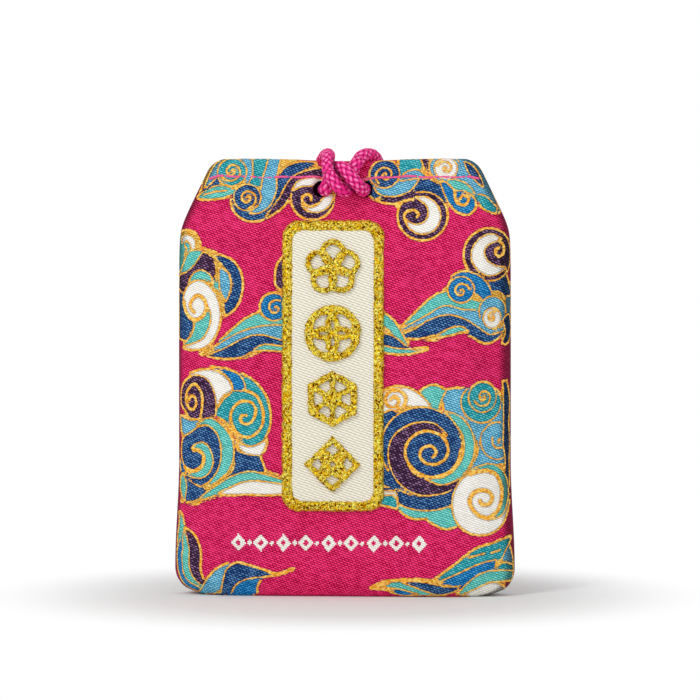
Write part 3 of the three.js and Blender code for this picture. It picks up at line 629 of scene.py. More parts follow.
def half_depth(z):
    """Half the pouch's depth on its middle line, up to the hem."""
    z = np.asarray(z, float)
    rise = np.clip(z / BASE_ROUND, 0, 1)
    lower = (BASE_DEPTH + (BELLY_DEPTH - BASE_DEPTH) * np.sqrt(1 - (1 - rise) ** 2)) / 2
    taper_foot = POUCH_HEIGHT - TAPER_DROP
    fall = np.clip((z - taper_foot) / (HEM_LINE - taper_foot), 0, 1)
    upper = (BELLY_DEPTH + (HEM_DEPTH - BELLY_DEPTH) * fall**TAPER_POWER) / 2
    over = TOP_FLAT / 2 + np.sqrt(np.clip(HEM_ROUND**2 - (z - HEM_LINE) ** 2, 0, None))
    return np.where(z <= HEM_LINE, np.minimum(lower, upper), over)


def bulge(share):
    """Depth at a share of the half width, as a share of the depth on the middle line."""
    return np.sqrt(np.clip(1 - np.abs(share) ** SIDE_POWER, 0, None))


def surface(x, z):
    """Distance of the outer cloth from the seam plane."""
    return half_depth(z) * bulge(np.clip(np.abs(x) / half_width(z), 0, 1))


def section(wide, deep, steps, count):
    """A line across a panel from seam to seam, measured at count places.
    Returns its shares of the half width and of the depth at even steps along it, 0 to 1, and its length."""
    share = np.sin(np.linspace(-math.pi / 2, math.pi / 2, count))
    depth = bulge(share)
    run = runs(np.stack([share * wide, depth * deep], axis=1))
    at = steps * run[-1]
    return np.interp(at, run, share), np.interp(at, run, depth), run[-1]


def sag(x, z):
    """How far the hem sinks where the cord draws it in."""
    depth = HEM_SAG + CORD_SAG * np.exp(-(((x - CORD_SAG_X) / CORD_SAG_REACH) ** 2))
    return depth * smooth((z - SAG_FOOT) / SAG_RISE)


def panel_rows(cell, under):
    """Rows of a cloth panel from its foot to inside the hem: height, depth on the middle line, and the side
    of the seam plane, 1 for the panel's own side."""
    rows = []
    if under:
        for z in np.arange(BASE_RISE, 0, -cell):
            rows.append((z, float(half_depth(z)), -1))
        for t in np.arange(-1, 1, 2 * cell / BASE_DEPTH):
            rows.append((0.0, abs(t) * BASE_DEPTH / 2, -1 if t < 0 else 1))
        start = 0.0
    else:
        start = BASE_RISE + 2 * SEAM_HALF_GAP
    count = int(round((HEM_LINE - start) / cell))
    for z in np.linspace(start, HEM_LINE, count, endpoint=False):
        rows.append((float(z), float(half_depth(z)), 1))
    middle = (HEM_DEPTH / 2 + SEAM_HALF_GAP) / 2
    reach = HEM_DEPTH / 2 - middle
    for angle in np.arange(0, 180, math.degrees(cell / HEM_TURN_RADIUS)):
        turn = math.radians(angle)
        rows.append((HEM_LINE + HEM_ROUND * math.sin(turn), middle + reach * math.cos(turn), 1))
    for z in np.arange(HEM_LINE, HEM_LINE - HEM_TURN_SHOWN, -cell):
        rows.append((float(z), SEAM_HALF_GAP + LEAST_DEPTH, 1))
    return np.array(rows)


def panel_grid(cell, columns, under, inset=0.0):
    """Points of a panel in rows, facing -Y, with each point's place on the flat cloth."""
    rows = panel_rows(cell, under)
    points = np.zeros((len(rows), columns + 1, 3))
    flat = np.zeros((len(rows), columns + 1, 2))
    steps = np.linspace(0, 1, columns + 1)
    for i, (z, depth, own) in enumerate(rows):
        wide = float(half_width(z)) - inset
        outer = depth if z > 0 else float(half_depth(0.0))
        share, _, length = section(wide, outer, steps, SECTION_PLACES)
        deep = max(depth - inset, LEAST_DEPTH) * bulge(share)
        points[i, :, 0] = share * wide
        points[i, :, 1] = -np.maximum(deep, SEAM_HALF_GAP) if own > 0 else deep
        points[i, :, 2] = z
        flat[i, :, 0] = (steps - 0.5) * length
    climb = runs(points[:, columns // 2])
    own_face = np.nonzero((rows[:, 2] > 0) & (rows[:, 0] >= BASE_ROUND))[0][0]
    flat[:, :, 1] = (climb - climb[own_face] + rows[own_face, 0])[:, None]
    return points, flat, rows


def relax_fold(points, rows):
    """Rounds the fold along the base's edges, in place."""
    low = rows[:, 0] < FOLD_HEIGHT
    for _ in range(FOLD_PASSES):
        mean = points.copy()
        mean[1:-1] = (points[:-2] + points[2:]) / 2
        points[low] = (0.5 * points + 0.5 * mean)[low]


def normals_of(points):
    """The normal at each point of a grid."""
    along = np.gradient(points, axis=1)
    up = np.gradient(points, axis=0)
    normal = np.cross(along, up)
    length = np.linalg.norm(normal, axis=2, keepdims=True)
    return normal / np.maximum(length, 1e-9)


def grain(points, size, seed):
    """Smooth random numbers from 0 to 1 at points, about size apart."""
    places = np.asarray(points, float) / size + 1000.5
    base = np.floor(places).astype(np.int64)
    t = smooth(places - base)
    total = np.zeros(places.shape[:-1])
    for corner in range(8):
        step = np.array([corner & 1, corner >> 1 & 1, corner >> 2 & 1])
        i, j, k = np.moveaxis(base + step, -1, 0)
        mixed = i * 73856093 ^ j * 19349663 ^ k * 83492791 ^ seed * 2654435761
        mixed = (mixed ^ (mixed >> 13)) * 1274126177 & 0xFFFFFFFF
        value = ((mixed ^ (mixed >> 16)) & 0xFFFF) / 65535
        total += value * np.prod(np.where(step == 1, t, 1 - t), axis=-1)
    return total


def lumps(places, *layers):
    """Unevenness at places, the sum of layers of (height, size, seed, level that counts as even)."""
    return sum(height * (grain(places, size, seed) - level) for height, size, seed, level in layers)


# Drawing of the clouds


def shapes_in(group):
    """The shapes of a group of CLOUDS, each as its words."""
    shapes = []
    for word in CLOUDS[group].split():
        if word in KINDS:
            shapes.append([])
        shapes[-1].append(word)
    return shapes


def spline(points, closed=False):
    """A smooth line through points; a point whose last number is 1 is a sharp corner."""
    rows = np.array([p[:-1] for p in points], float)
    sharp = [bool(p[-1]) for p in points]
    count = len(rows)
    t = np.linspace(0, 1, 7, endpoint=False)[:, None]
    out = []
    for i in range(count if closed else count - 1):
        b, c = rows[i], rows[(i + 1) % count]
        a = b if sharp[i] or (i == 0 and not closed) else rows[i - 1]
        ends = sharp[(i + 1) % count] or (i + 2 > count - 1 and not closed)
        d = c if ends else rows[(i + 2) % count]
        cubic = (3 * b - a - 3 * c + d) * t**3
        out.append(0.5 * (2 * b + (c - a) * t + (2 * a - 5 * b + 4 * c - d) * t**2 + cubic))
    if not closed:
        out.append(rows[-1:])
    return np.concatenate(out)


def ribbon(points):
    """The outline of a band that follows points (x, z, width, corner)."""
    line = spline(points)
    along = np.gradient(line[:, :2], axis=0)
    along /= np.maximum(np.linalg.norm(along, axis=1, keepdims=True), 1e-9)
    side = np.stack([-along[:, 1], along[:, 0]], axis=1) * line[:, 2:3] / 2
    return np.concatenate([line[:, :2] + side, (line[:, :2] - side)[::-1]])


def grown(outline, by=GROWN):
    """A closed outline moved outwards."""
    after = np.roll(outline, -1, axis=0)
    ahead = after - np.roll(outline, 1, axis=0)
    ahead /= np.maximum(np.linalg.norm(ahead, axis=1, keepdims=True), 1e-6)
    hand = np.sign((outline[:, 0] * after[:, 1] - outline[:, 1] * after[:, 0]).sum())
    return outline + by * hand * np.stack([ahead[:, 1], -ahead[:, 0]], axis=1)


def round_line(x, z, reach, angle):
    """Points at a reach from (x, z), at angles in radians."""
    return np.stack([x + reach * np.cos(angle), z + reach * np.sin(angle)], axis=1)


def circle(count):
    """Even angles all the way round."""
    return np.linspace(0, 2 * math.pi, count, endpoint=False)


def crescent(x, z, radius, start, end, width):
    """The outline of a crescent from start to end degrees, widest at its middle."""
    t = np.linspace(0, 1, 24)
    angle = np.radians(start + (end - start) * t)
    half = 0.5 * width * np.sin(math.pi * t) ** CRESCENT_TAPER
    inner = round_line(x, z, radius - half, angle)[::-1]
    return np.concatenate([round_line(x, z, radius + half, angle), inner])


def curl(x, z, radius, turns, start, hand):
    """A line that winds inwards from radius at start degrees; hand is 1 for anticlockwise."""
    t = np.linspace(0, 1, int(26 * turns) + 4)
    angle = math.radians(start) + hand * 2 * math.pi * turns * t
    return round_line(x, z, radius * (1 - CURL_CLOSES * t**CURL_POWER), angle)


def shape_of(kind, second, words):
    """The outline or line of one of the shapes in CLOUDS."""
    if kind == "disc":
        return round_line(*map(float, words), circle(40))
    if kind == "arc":
        return grown(crescent(*map(float, words)))
    if kind == "curl":
        return curl(*map(float, words))
    points = [(*map(float, word.rstrip("*").split(",")), word.endswith("*")) for word in words]
    if kind == "ribbon":
        return grown(ribbon(points))
    if kind == "line":
        return spline(points)
    outline = spline(points, closed=True)
    return outline if kind == "patch" or second == "outline" else grown(outline)


class Drawing:
    """What is woven at each place: the colour's number, the way to the nearest outline, its distance and
    half its width."""

    def __init__(self, places):
        self.x = places[:, 0]
        self.z = places[:, 1]
        self.colour = np.zeros(len(places), int)
        self.way = np.full((len(places), 2), FAR_OFF)
        self.away = np.full(len(places), FAR_OFF)
        self.half = np.full(len(places), 0.1)

    def near(self, outline):
        """The numbers of the places in and around an outline."""
        low = outline.min(axis=0) - NEARBY
        high = outline.max(axis=0) + NEARBY
        found = (self.x > low[0]) & (self.x < high[0]) & (self.z > low[1]) & (self.z < high[1])
        return np.nonzero(found)[0]

    def draw_line(self, at, starts, ends, width, over=None):
        """Keeps the nearest point of a line where it is nearer than the last, or wherever over is true."""
        x, z = self.x[at], self.z[at]
        best = np.full(len(at), FAR_OFF**2)
        way = np.full((len(at), 2), FAR_OFF)
        for (ax, az), (bx, bz) in zip(starts, ends):
            dx, dz = bx - ax, bz - az
            t = np.clip(((x - ax) * dx + (z - az) * dz) / max(dx * dx + dz * dz, 1e-12), 0, 1)
            ex, ez = ax + t * dx - x, az + t * dz - z
            square = ex * ex + ez * ez
            closer = square < best
            best = np.where(closer, square, best)
            way[closer] = np.stack([ex, ez], axis=1)[closer]
        away = np.sqrt(best)
        take = away - width / 2 < self.away[at] - self.half[at]
        if over is not None:
            take |= over | (away < CLEARED)
        taken = at[take]
        self.way[taken] = way[take]
        self.away[taken] = away[take]
        self.half[taken] = width / 2

    def fill(self, outline, colour, width):
        """Fills an outline with a colour and draws its edge, over what was there. No edge if width is 0."""
        at = self.near(outline)
        if not len(at):
            return
        x, z = self.x[at], self.z[at]
        inside = np.zeros(len(at), bool)
        ends = np.roll(outline, -1, axis=0)
        for (ax, az), (bx, bz) in zip(outline, ends):
            if az != bz:
                crosses = (az > z) != (bz > z)
                inside ^= crosses & (x < (bx - ax) * (z - az) / (bz - az) + ax)
        self.colour[at[inside]] = colour
        self.away[at[inside]] = FAR_OFF
        self.way[at[inside]] = FAR_OFF
        if width:
            self.draw_line(at, outline, ends, width, inside)

    def line(self, points, width):
        """Draws a line that isn't the edge of a shape."""
        at = self.near(points)
        if len(at):
            self.draw_line(at, points[:-1], points[1:], width)

    def clouds(self, group, line, shift=(0.0, 0.0), flip=1):
        """Draws a group of CLOUDS, moved by shift, and mirrored if flip is -1."""
        for kind, second, *words in shapes_in(group):
            shape = shape_of(kind, second, words) * (flip, 1.0) + shift
            if kind in ("curl", "line"):
                self.line(shape, float(second) * THINNER)
            else:
                self.fill(shape, COLOUR_NAMES.index(second), 0 if kind == "patch" else line)


def close_gaps(colour):
    """Weaves narrow gaps of ground between shapes, on a grid of colour numbers, in the outline's colour."""
    shapes = colour > 0
    shifts = [(i, j) for i in range(-1, 2) for j in range(-1, 2)]
    wide = np.any([np.roll(shapes, shift, axis=(0, 1)) for shift in shifts], axis=0)
    closed = np.all([np.roll(wide, shift, axis=(0, 1)) for shift in shifts], axis=0)
    return np.where(closed & ~shapes, COLOUR_NAMES.index("outline"), colour)


def draw_front(drawing, line):
    """All the clouds but those that only the back has."""
    for group in CLOUDS:
        if group != "back_ends":
            drawing.clouds(group, line)


def draw_back(drawing, line):
    """The front's clouds the other way round, with some of them again where the front has its label."""
    for group in CLOUDS:
        if group not in ("wave_tip", "back_ends"):
            drawing.clouds(group, line, flip=-1)
    for group in ("low_right_top", "low_right"):
        drawing.clouds(group, line, shift=(-12.4, 20.5))
    drawing.clouds("right_wave", line, shift=(-14.0, -22.5))
    drawing.clouds("wave_tip", line, shift=(2.0, -27.0))
    drawing.clouds("back_ends", line)


def woven(flat, front, line):
    """The drawing of a panel's clouds on a grid of places, with outlines of a width."""
    drawing = Drawing(flat.reshape(-1, 2))
    draw = draw_front if front else draw_back
    draw(drawing, line)
    drawing.colour = close_gaps(drawing.colour.reshape(flat.shape[:2])).ravel()
    return drawing


def draw_lozenges(drawing):
    """A woven row of small white lozenges and dots near the foot."""

    def lozenge(x, size, name):
        wide, high = size
        corners = [(x - wide, LOZENGE_Z), (x, LOZENGE_Z + high), (x + wide, LOZENGE_Z), (x, LOZENGE_Z - high)]
        drawing.fill(np.array(corners), COLOUR_NAMES.index(name), 0)

    for i in range(LOZENGES):
        x = LOZENGE_X + LOZENGE_PITCH * i
        lozenge(x, LOZENGE, "white")
        lozenge(x, LOZENGE_EYE, "ground")
        if i < LOZENGES - 1:
            lozenge(x + LOZENGE_PITCH / 2, LOZENGE_DOT, "white")


# Meshes


def quads(rows, columns, closed=False):
    """Quads of a grid, row by row, facing out when the columns run left to right and the rows up."""
    i, j = np.mgrid[0 : rows - 1, 0 : columns if closed else columns - 1]
    k = (j + 1) % columns
    corners = [i * columns + j, i * columns + k, (i + 1) * columns + k, (i + 1) * columns + j]
    return np.stack(corners, axis=-1).reshape(-1, 4)


def new_object(name, points, faces, material):
    """A mesh object in metres from points in millimetres and an array of faces."""
    mesh = bpy.data.meshes.new(name)
    points = np.asarray(points, float).reshape(-1, 3) * MM
    mesh.vertices.add(len(points))
    mesh.vertices.foreach_set("co", points.ravel())
    mesh.loops.add(faces.size)
    mesh.loops.foreach_set("vertex_index", faces.ravel())
    mesh.polygons.add(len(faces))
    mesh.polygons.foreach_set("loop_start", np.arange(0, faces.size, faces.shape[1]))
    mesh.update(calc_edges=True)
    mesh.materials.append(material)
    shade_smooth(mesh)
    obj = bpy.data.objects.new(name, mesh)
    bpy.context.scene.collection.objects.link(obj)
    return obj


def shade_smooth(mesh):
    mesh.polygons.foreach_set("use_smooth", np.ones(len(mesh.polygons), bool))


def set_uv(obj, corners, name="weave"):
    """Stores two numbers for each corner of each face."""
    obj.data.uv_layers.new(name=name).data.foreach_set("uv", corners.ravel())


def set_colours(obj, name, values, domain):
    """Stores four numbers for each corner of a face, or for each point."""
    layer = obj.data.color_attributes.new(name=name, type="FLOAT_COLOR", domain=domain)
    layer.data.foreach_set("color", values.astype(np.float32).ravel())


def apply_all(obj):
    """Applies an object's modifiers."""
    bpy.ops.object.select_all(action="DESELECT")
    obj.select_set(True)
    bpy.context.view_layer.objects.active = obj
    for modifier in list(obj.modifiers):
        bpy.ops.object.modifier_apply(modifier=modifier.name)


def edit_mesh(mesh, change):
    """Opens a mesh for a change, a function of the open mesh, and closes it again."""
    work = bmesh.new()
    work.from_mesh(mesh)
    work.verts.ensure_lookup_table()
    change(work)
    work.to_mesh(mesh)
    work.free()


def points_of(obj):
    """An object's points, in millimetres."""
    out = np.empty(len(obj.data.vertices) * 3)
    obj.data.vertices.foreach_get("co", out)
    return out.reshape(-1, 3) / MM


def swollen_copy(name, node, voxel, passes, layers, material):
    """A copy of a CAD node's shape with rounded edges, made uneven along its normals by layers of lumps."""
    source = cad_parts[node]
    mesh = source.data.copy()
    mesh.transform(source.matrix_world)
    obj = bpy.data.objects.new(name, mesh)
    bpy.context.scene.collection.objects.link(obj)
    edit_mesh(mesh, lambda work: bmesh.ops.remove_doubles(work, verts=work.verts, dist=1e-6))
    remesh = obj.modifiers.new("remesh", "REMESH")
    remesh.mode = "VOXEL"
    remesh.voxel_size = voxel * MM
    soften = obj.modifiers.new("soften", "SMOOTH")
    soften.factor = 0.5
    soften.iterations = passes
    apply_all(obj)
    points = points_of(obj)
    normals = np.empty(points.size)
    obj.data.vertex_normals.foreach_get("vector", normals)
    moved = points + normals.reshape(-1, 3) * lumps(points, *layers)[:, None]
    obj.data.vertices.foreach_set("co", (moved * MM).ravel())
    obj.data.update()
    obj.data.materials.clear()
    obj.data.materials.append(material)
    shade_smooth(obj.data)
    return obj


def dress(obj, body, slot, *nodes):
    """Says which body a piece moves with and hides the CAD nodes it stands for. The slot, what it is made of,
    is not used.
    """
    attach(obj, body)
    if nodes:
        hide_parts(*nodes)


# Materials


def operation(name):
    """A method that adds a maths node."""
    return lambda self, *others: self.sum(name, *others)


class Value:
    """A shader socket that takes part in sums."""

    def __init__(self, tree, socket):
        self.tree = tree
        self.socket = socket

    def sum(self, name, *others):
        inputs = dict(enumerate((self, *others)))
        return self.tree.made("ShaderNodeMath", 0, inputs, operation=name)

    __add__ = __radd__ = operation("ADD")
    __sub__ = operation("SUBTRACT")
    __mul__ = operation("MULTIPLY")
    __truediv__ = operation("DIVIDE")
    floor = operation("FLOOR")
    round = operation("ROUND")
    fract = operation("FRACT")
    sin = operation("SINE")
    cos = operation("COSINE")
    abs = operation("ABSOLUTE")
    power = operation("POWER")
    maximum = operation("MAXIMUM")

    def __rsub__(self, other):
        return self.sum("MULTIPLY_ADD", -1.0, other)

    def ramp(self, low, high):
        """0 below low, 1 above high, smooth between; low may be the greater."""
        inputs = {"Value": self, "From Min": low, "From Max": high}
        return self.tree.made("ShaderNodeMapRange", "Result", inputs, interpolation_type="SMOOTHSTEP")


class Tree:
    """The nodes of a material or world, with the shader that they feed."""

    def __init__(self, owner, shader):
        owner.use_nodes = True
        self.nodes = owner.node_tree.nodes
        self.links = owner.node_tree.links
        self.shader = self.first(shader)

    def first(self, kind):
        return next(n for n in self.nodes if n.type == kind)

    def node(self, kind, **settings):
        """A new node with its settings."""
        node = self.nodes.new(kind)
        for key, value in settings.items():
            setattr(node, key, value)
        return node

    def join(self, slot, item):
        """Gives an input another node's output, a colour or a number."""
        if isinstance(item, Value):
            self.links.new(item.socket, slot)
        elif hasattr(item, "__len__"):
            slot.default_value = (*item, 1.0)[: len(slot.default_value)]
        else:
            slot.default_value = item

    def made(self, kind, output, inputs=None, **settings):
        """An output of a new node, whose inputs are joined by name or number."""
        node = self.node(kind, **settings)
        for name, item in (inputs or {}).items():
            self.join(node.inputs[name], item)
        return Value(self, node.outputs[output])

    def set(self, name, item):
        self.join(self.shader.inputs[name], item)


class Paint(Tree):
    """A procedural material with one Principled shader."""

    def __init__(self, name, roughness=0.6, metallic=0.0, specular=0.3, sheen=0.0):
        self.material = bpy.data.materials.new(name)
        super().__init__(self.material, "BSDF_PRINCIPLED")
        self.set("Roughness", roughness)
        self.set("Metallic", metallic)
        self.set("Specular IOR Level", specular)
        self.set("Sheen Weight", sheen)

    def flat(self, name="weave"):
        """The two coordinates of a UV layer."""
        return self.split(self.made("ShaderNodeUVMap", 0, uv_map=name))[:2]

    def place(self):
        """The place in the object's own coordinates, in millimetres."""
        inputs = {0: self.made("ShaderNodeTexCoord", "Object"), "Scale": 1 / MM}
        return self.made("ShaderNodeVectorMath", 0, inputs, operation="SCALE")

    def split(self, vector):
        """The three numbers of a vector or colour."""
        parts = self.node("ShaderNodeSeparateXYZ")
        self.join(parts.inputs[0], vector)
        return [Value(self, s) for s in parts.outputs]

    def vector(self, x, y, z=0.0):
        return self.made("ShaderNodeCombineXYZ", 0, {"X": x, "Y": y, "Z": z})

    def attribute(self, name, output="Color"):
        return self.made("ShaderNodeAttribute", output, attribute_name=name)

    def noise(self, vector, scale, detail=2.0):
        """Soft noise from 0 to 1."""
        return self.made("ShaderNodeTexNoise", "Fac", {"Vector": vector, "Scale": scale, "Detail": detail})

    def cells(self, vector, scale, output="Color"):
        """Irregular cells, with a random colour or the centre's position for each."""
        return self.made("ShaderNodeTexVoronoi", output, {"Vector": vector, "Scale": scale})

    def random(self, vector):
        """A random number from 0 to 1 for each vector."""
        return self.made("ShaderNodeTexWhiteNoise", "Value", {"Vector": vector}, noise_dimensions="3D")

    def mix(self, a, b, share):
        """Colour a where share is 0, colour b where it is 1."""
        node = self.node("ShaderNodeMix", data_type="RGBA", clamp_factor=True)
        colours = [s for s in node.inputs if s.type == "RGBA"]
        self.join(node.inputs[0], share)
        self.join(colours[0], a)
        self.join(colours[1], b)
        return Value(self, next(s for s in node.outputs if s.type == "RGBA"))

    def bump(self, height, strength=1.0):
        """Relief of a height, in millimetres."""
        inputs = {"Strength": strength, "Distance": MM, "Height": height}
        self.set("Normal", self.made("ShaderNodeBump", 0, inputs))

    def slanted(self, u, v, slope, pitch, length, step, wander):
        """Short threads in slanting lines. Wander is how far the lines stray, in pitches, and at what scale.
        Returns how far across and along its thread each place lies, 0 in the middle and 1 at the edge,
        and the numbers of its line and thread."""
        stray, scale = wander
        line = (v + u * slope) / pitch + self.noise(self.vector(u, v), scale, 1.0) * stray
        run = (u - v * slope) / length + line.floor() * step
        across, along = ((item.fract() - 0.5).abs() * 2.0 for item in (line, run))
        return across, along, line.floor(), run.floor()

    def twill(self, u, v, slope, pitch, length):
        """Height, 0 to 1, of short floats that lie in slanting lines, and a random number for each."""
        across, along, line, run = self.slanted(u, v, slope, pitch, length, 0.5, wander=(0.35, 0.55))
        height = (1.0 - across.power(2.0)) * (1.0 - along.power(3.0) * 0.62)
        return height, self.random(self.vector(line, run)) - 0.5


def seen(group, name):
    """The linear numbers of a colour setting."""
    return tuple(linear(getattr(group, name)))


def brocade_paint(cloth, name):
    """Twill floats with painted shade between them and a painted highlight colour on the highest, and
    outlines of gold thread whose edges step with the thread rows, with a painted shadow beside them.
    """
    paint = Paint(name, roughness=0.6, specular=0.06)
    black = (0.0, 0.0, 0.0)
    u, v = paint.flat()
    pitch = cloth.twill / MM
    height, chance = paint.twill(u, v, TWILL_SLOPE, pitch, TWILL_FLOAT * pitch)
    # The cloth: painted shade between the floats, a painted highlight colour on the highest, uneven over the
    # panel
    base = paint.attribute("woven")
    level = paint.attribute("float_highlights", "Alpha")
    raised = (height + chance * 0.4).ramp(level - 0.02, level + 0.14)
    parts = paint.split(base)
    depth = 0.82 - parts[0] * parts[1] * 0.62
    body = paint.mix(base, black, (height + chance * 0.2).ramp(0.66, 0.05) * depth)
    body = paint.mix(body, paint.attribute("float_highlights"), raised * 0.92)
    uneven = paint.noise(paint.vector(u, v), 0.16, 3.0)
    body = paint.mix(body, black, uneven.ramp(0.5, 0.2) * 0.14)
    # The outlines, with a painted shadow line beside them
    row = (v / OUTLINE_ROW).floor()
    tooth = paint.random(paint.vector(row, (u / OUTLINE_TOOTH).floor()))
    way = paint.split(paint.attribute("outline", "Vector"))
    edge = (way[0] * way[0] + way[1] * way[1]).power(0.5) - way[2] + (tooth - 0.5) * 0.12
    beside = paint.attribute("outline", "Alpha") - way[2]
    outline = edge.ramp(0.03, -0.03) * beside.ramp(0.13, 0.07)
    # A thin painted shadow on the cloth just outside each outline
    shade = beside.ramp(0.2, 0.0) * (1.0 - outline)
    speck = paint.random(paint.vector((u / OUTLINE_SPECK + row * 0.5).floor(), row, 3.0))
    # The lighter specks along the gold thread are painted highlights
    thread = paint.mix(seen(cloth, "outline"), dyed(255, 228, 128), speck.ramp(0.4, 0.9) * 0.8)
    thread = paint.mix(thread, dyed(176, 96, 24), speck.ramp(0.34, 0.05) * 0.6)
    colour = paint.mix(body, (0.02, 0.0, 0.02), shade * 0.5)
    paint.set("Base Color", paint.mix(colour, thread, outline))
    paint.set("Roughness", 0.66 - height * 0.16)
    paint.bump(height * (1.0 - outline) * 0.05 + outline * (0.05 + speck * 0.035), 0.8)
    return paint.material


def lining_paint(cloth):
    """The wrong side of the brocade: long floats of the colours that don't show in front."""
    paint = Paint("brocade_wrong_side", roughness=0.75, specular=0.2, sheen=0.1)
    u, v = paint.flat()
    floats, _ = paint.twill(u, v, 0.1, 0.3, 4.0)
    patches = paint.noise(paint.vector(u, v), 0.3).ramp(0.5, 0.6)
    colour = paint.mix(seen(cloth, "ground"), seen(cloth, "navy"), patches)
    # Painted shade between the floats
    paint.set("Base Color", paint.mix(colour, (0.02, 0.0, 0.01), (1.0 - floats) * 0.5))
    paint.bump(floats * 0.06)
    return paint.material


def hole_shade_paint():
    """Deep shade on the frayed cloth round the cord's holes."""
    paint = Paint("hole_edge", roughness=0.85, specular=0.1)
    x, y, z = paint.split(paint.place())
    frays = paint.noise(paint.vector(x, y * 0.3, z), 4.0, 3.0)
    paint.set("Base Color", paint.mix((0.004, 0.0, 0.003), (0.09, 0.0, 0.03), frays.ramp(0.45, 0.75)))
    paint.bump(frays * 0.12)
    return paint.material


def label_paint(cloth):
    """Cream cloth with thin slanting dashes of painted shade in the grooves between its thread rows."""
    paint = Paint("label_cloth", roughness=0.65, specular=0.15)
    x, _, z = paint.split(paint.place())
    across, along, _, _ = paint.slanted(x, z, TWILL_SLOPE, 0.39, 1.4, 0.42, wander=(0.5, 0.5))
    # Dashes of painted shade in the grooves between thread rows
    dim = across.ramp(0.5, 0.95) * (0.25 + along.ramp(0.85, 0.5) * 0.75)
    paint.set("Base Color", paint.mix(seen(cloth, "label"), dyed(160, 156, 132), dim * 0.85))
    paint.bump((1.0 - dim) * 0.06, 0.8)
    return paint.material


def gold_paint(trim):
    """Crinkled metal thread: small tilted facets from brown through yellow to near white, a painted
    reflection, the near-white facets painted glints.
    """
    paint = Paint("gold_thread", roughness=0.3, metallic=0.55, specular=0.05)
    scale = MM / trim.grain
    place = paint.place()
    x, y, z = paint.split(place)
    bent = (paint.noise(place, 1.5 * scale, 1.0) - 0.5) * 0.6
    turned = (paint.noise(paint.vector(z, x, y), 1.5 * scale, 1.0) - 0.5) * 0.6
    crumpled = paint.vector(x + bent, y, z + turned)
    cell = paint.split(paint.cells(crumpled, 1.9 * scale))
    centre = paint.split(paint.cells(crumpled, 1.9 * scale, "Position"))
    fine = paint.noise(place, 3.4 * scale, 1.0) - 0.5
    pick = cell[0] + fine * 0.5
    # Painted reflection: each facet a random shade from dark brown to bright yellow, the near-white ones
    # painted glints
    colour = paint.mix(seen(trim, "gold_dark"), seen(trim, "gold"), pick.ramp(0.18, 0.3))
    colour = paint.mix(colour, seen(trim, "gold_light"), pick.ramp(0.4, 0.52))
    paint.set("Base Color", paint.mix(colour, dyed(255, 248, 120), pick.ramp(0.68, 0.76)))
    tilt = (x + bent - centre[0]) * (cell[2] - 0.5) + (z + turned - centre[2]) * (cell[1] - 0.5)
    paint.bump(tilt * 0.8 + fine * 0.03)
    return paint.material


def cord_paint(trim):
    """Round braid: two families of strands that pass over and under, with fine fibres along them, painted
    shade in the grooves and where cords lie close, and painted glints on the raised strands.
    """
    paint = Paint("braided_cord", roughness=0.5, specular=0.2)
    around, along = paint.flat("braid")
    turn = around * (2 * math.pi * BRAID_STRANDS)
    climb = along * (2 * math.pi * BRAID_STRANDS / BRAID_LAY)
    one, two = turn + climb, turn - climb
    parity = (one * 0.5).cos() * (two * 0.5).cos()
    first = (one * 0.5).cos().abs().power(BRAID_ROUND) * (1.0 + parity)
    second = (two * 0.5).cos().abs().power(BRAID_ROUND) * (1.0 - parity)
    height = first.maximum(second) * 0.5
    over = (parity * 8.0).ramp(-0.5, 0.5)
    fibre = ((one * over + two * (1.0 - over)) * 2.0).sin() * 0.5 + 0.5
    # Each crossing of the strands gets its own amount of painted glint
    crossing = ((one / (2 * math.pi)).round(), (two / (2 * math.pi)).round(), over.round())
    crossing_glint = paint.random(paint.vector(*crossing))
    loose = paint.noise(paint.vector(around * 6.0, along), 1.6, 3.0)
    # Painted glints on the raised strands, patchy along the cord
    glint = height.ramp(0.55, 0.9) * (0.25 + fibre * 0.75) * (crossing_glint + loose * 0.6).ramp(0.4, 0.85)
    # Painted shade in the grooves between the strands
    colour = paint.mix(dyed(160, 4, 76), seen(trim, "cord"), height.ramp(0.2, 0.5))
    colour = paint.mix(colour, seen(trim, "cord_highlight"), glint * 0.85)
    # Painted shade in the crevices where cords lie close
    paint.set("Base Color", paint.mix(colour, dyed(*CREVICE_SHADE), paint.attribute("crevice", "Fac") * 0.9))
    paint.set("Roughness", 0.6 - height * 0.2)
    paint.bump(height * 0.1 + fibre * 0.02, 0.9)
    return paint.material


def thread_paint(trim):
    """Sewing thread with its twist."""
    paint = Paint("sewing_thread", roughness=0.5, specular=0.35)
    x, y, z = paint.split(paint.place())
    twist = ((x * 2.0 + (y + z) * 5.0) * (2 * math.pi)).sin() * 0.5 + 0.5
    paint.set("Base Color", paint.mix(seen(trim, "stitches"), dyed(255, 132, 170), twist * 0.6))
    paint.bump(twist * 0.03)
    return paint.material


def wood_paint():
    """Straight grain along the tablet's height."""
    paint = Paint("cypress_wood", roughness=0.55, specular=0.3)
    x, y, z = paint.split(paint.place())
    bend = paint.noise(paint.vector(x * 0.2, y, z * 0.03), 1.0)
    rings = ((x * 1.1 + bend * 5.0) * 2.6).sin() * 0.5 + 0.5
    paint.set("Base Color", paint.mix((0.62, 0.4, 0.19), (0.78, 0.58, 0.34), rings.ramp(0.1, 0.8)))
    paint.bump(rings * 0.02)
    return paint.material


def fibre_paint(name, noise, dark, light, ramp, height, **looks):
    """A plain stuff whose fibres show in its colour and height. The noise is its scale and detail."""
    paint = Paint(name, **looks)
    fibres = paint.noise(paint.place(), *noise)
    paint.set("Base Color", paint.mix(dark, light, fibres.ramp(*ramp)))
    paint.bump(fibres * height)
    return paint.material


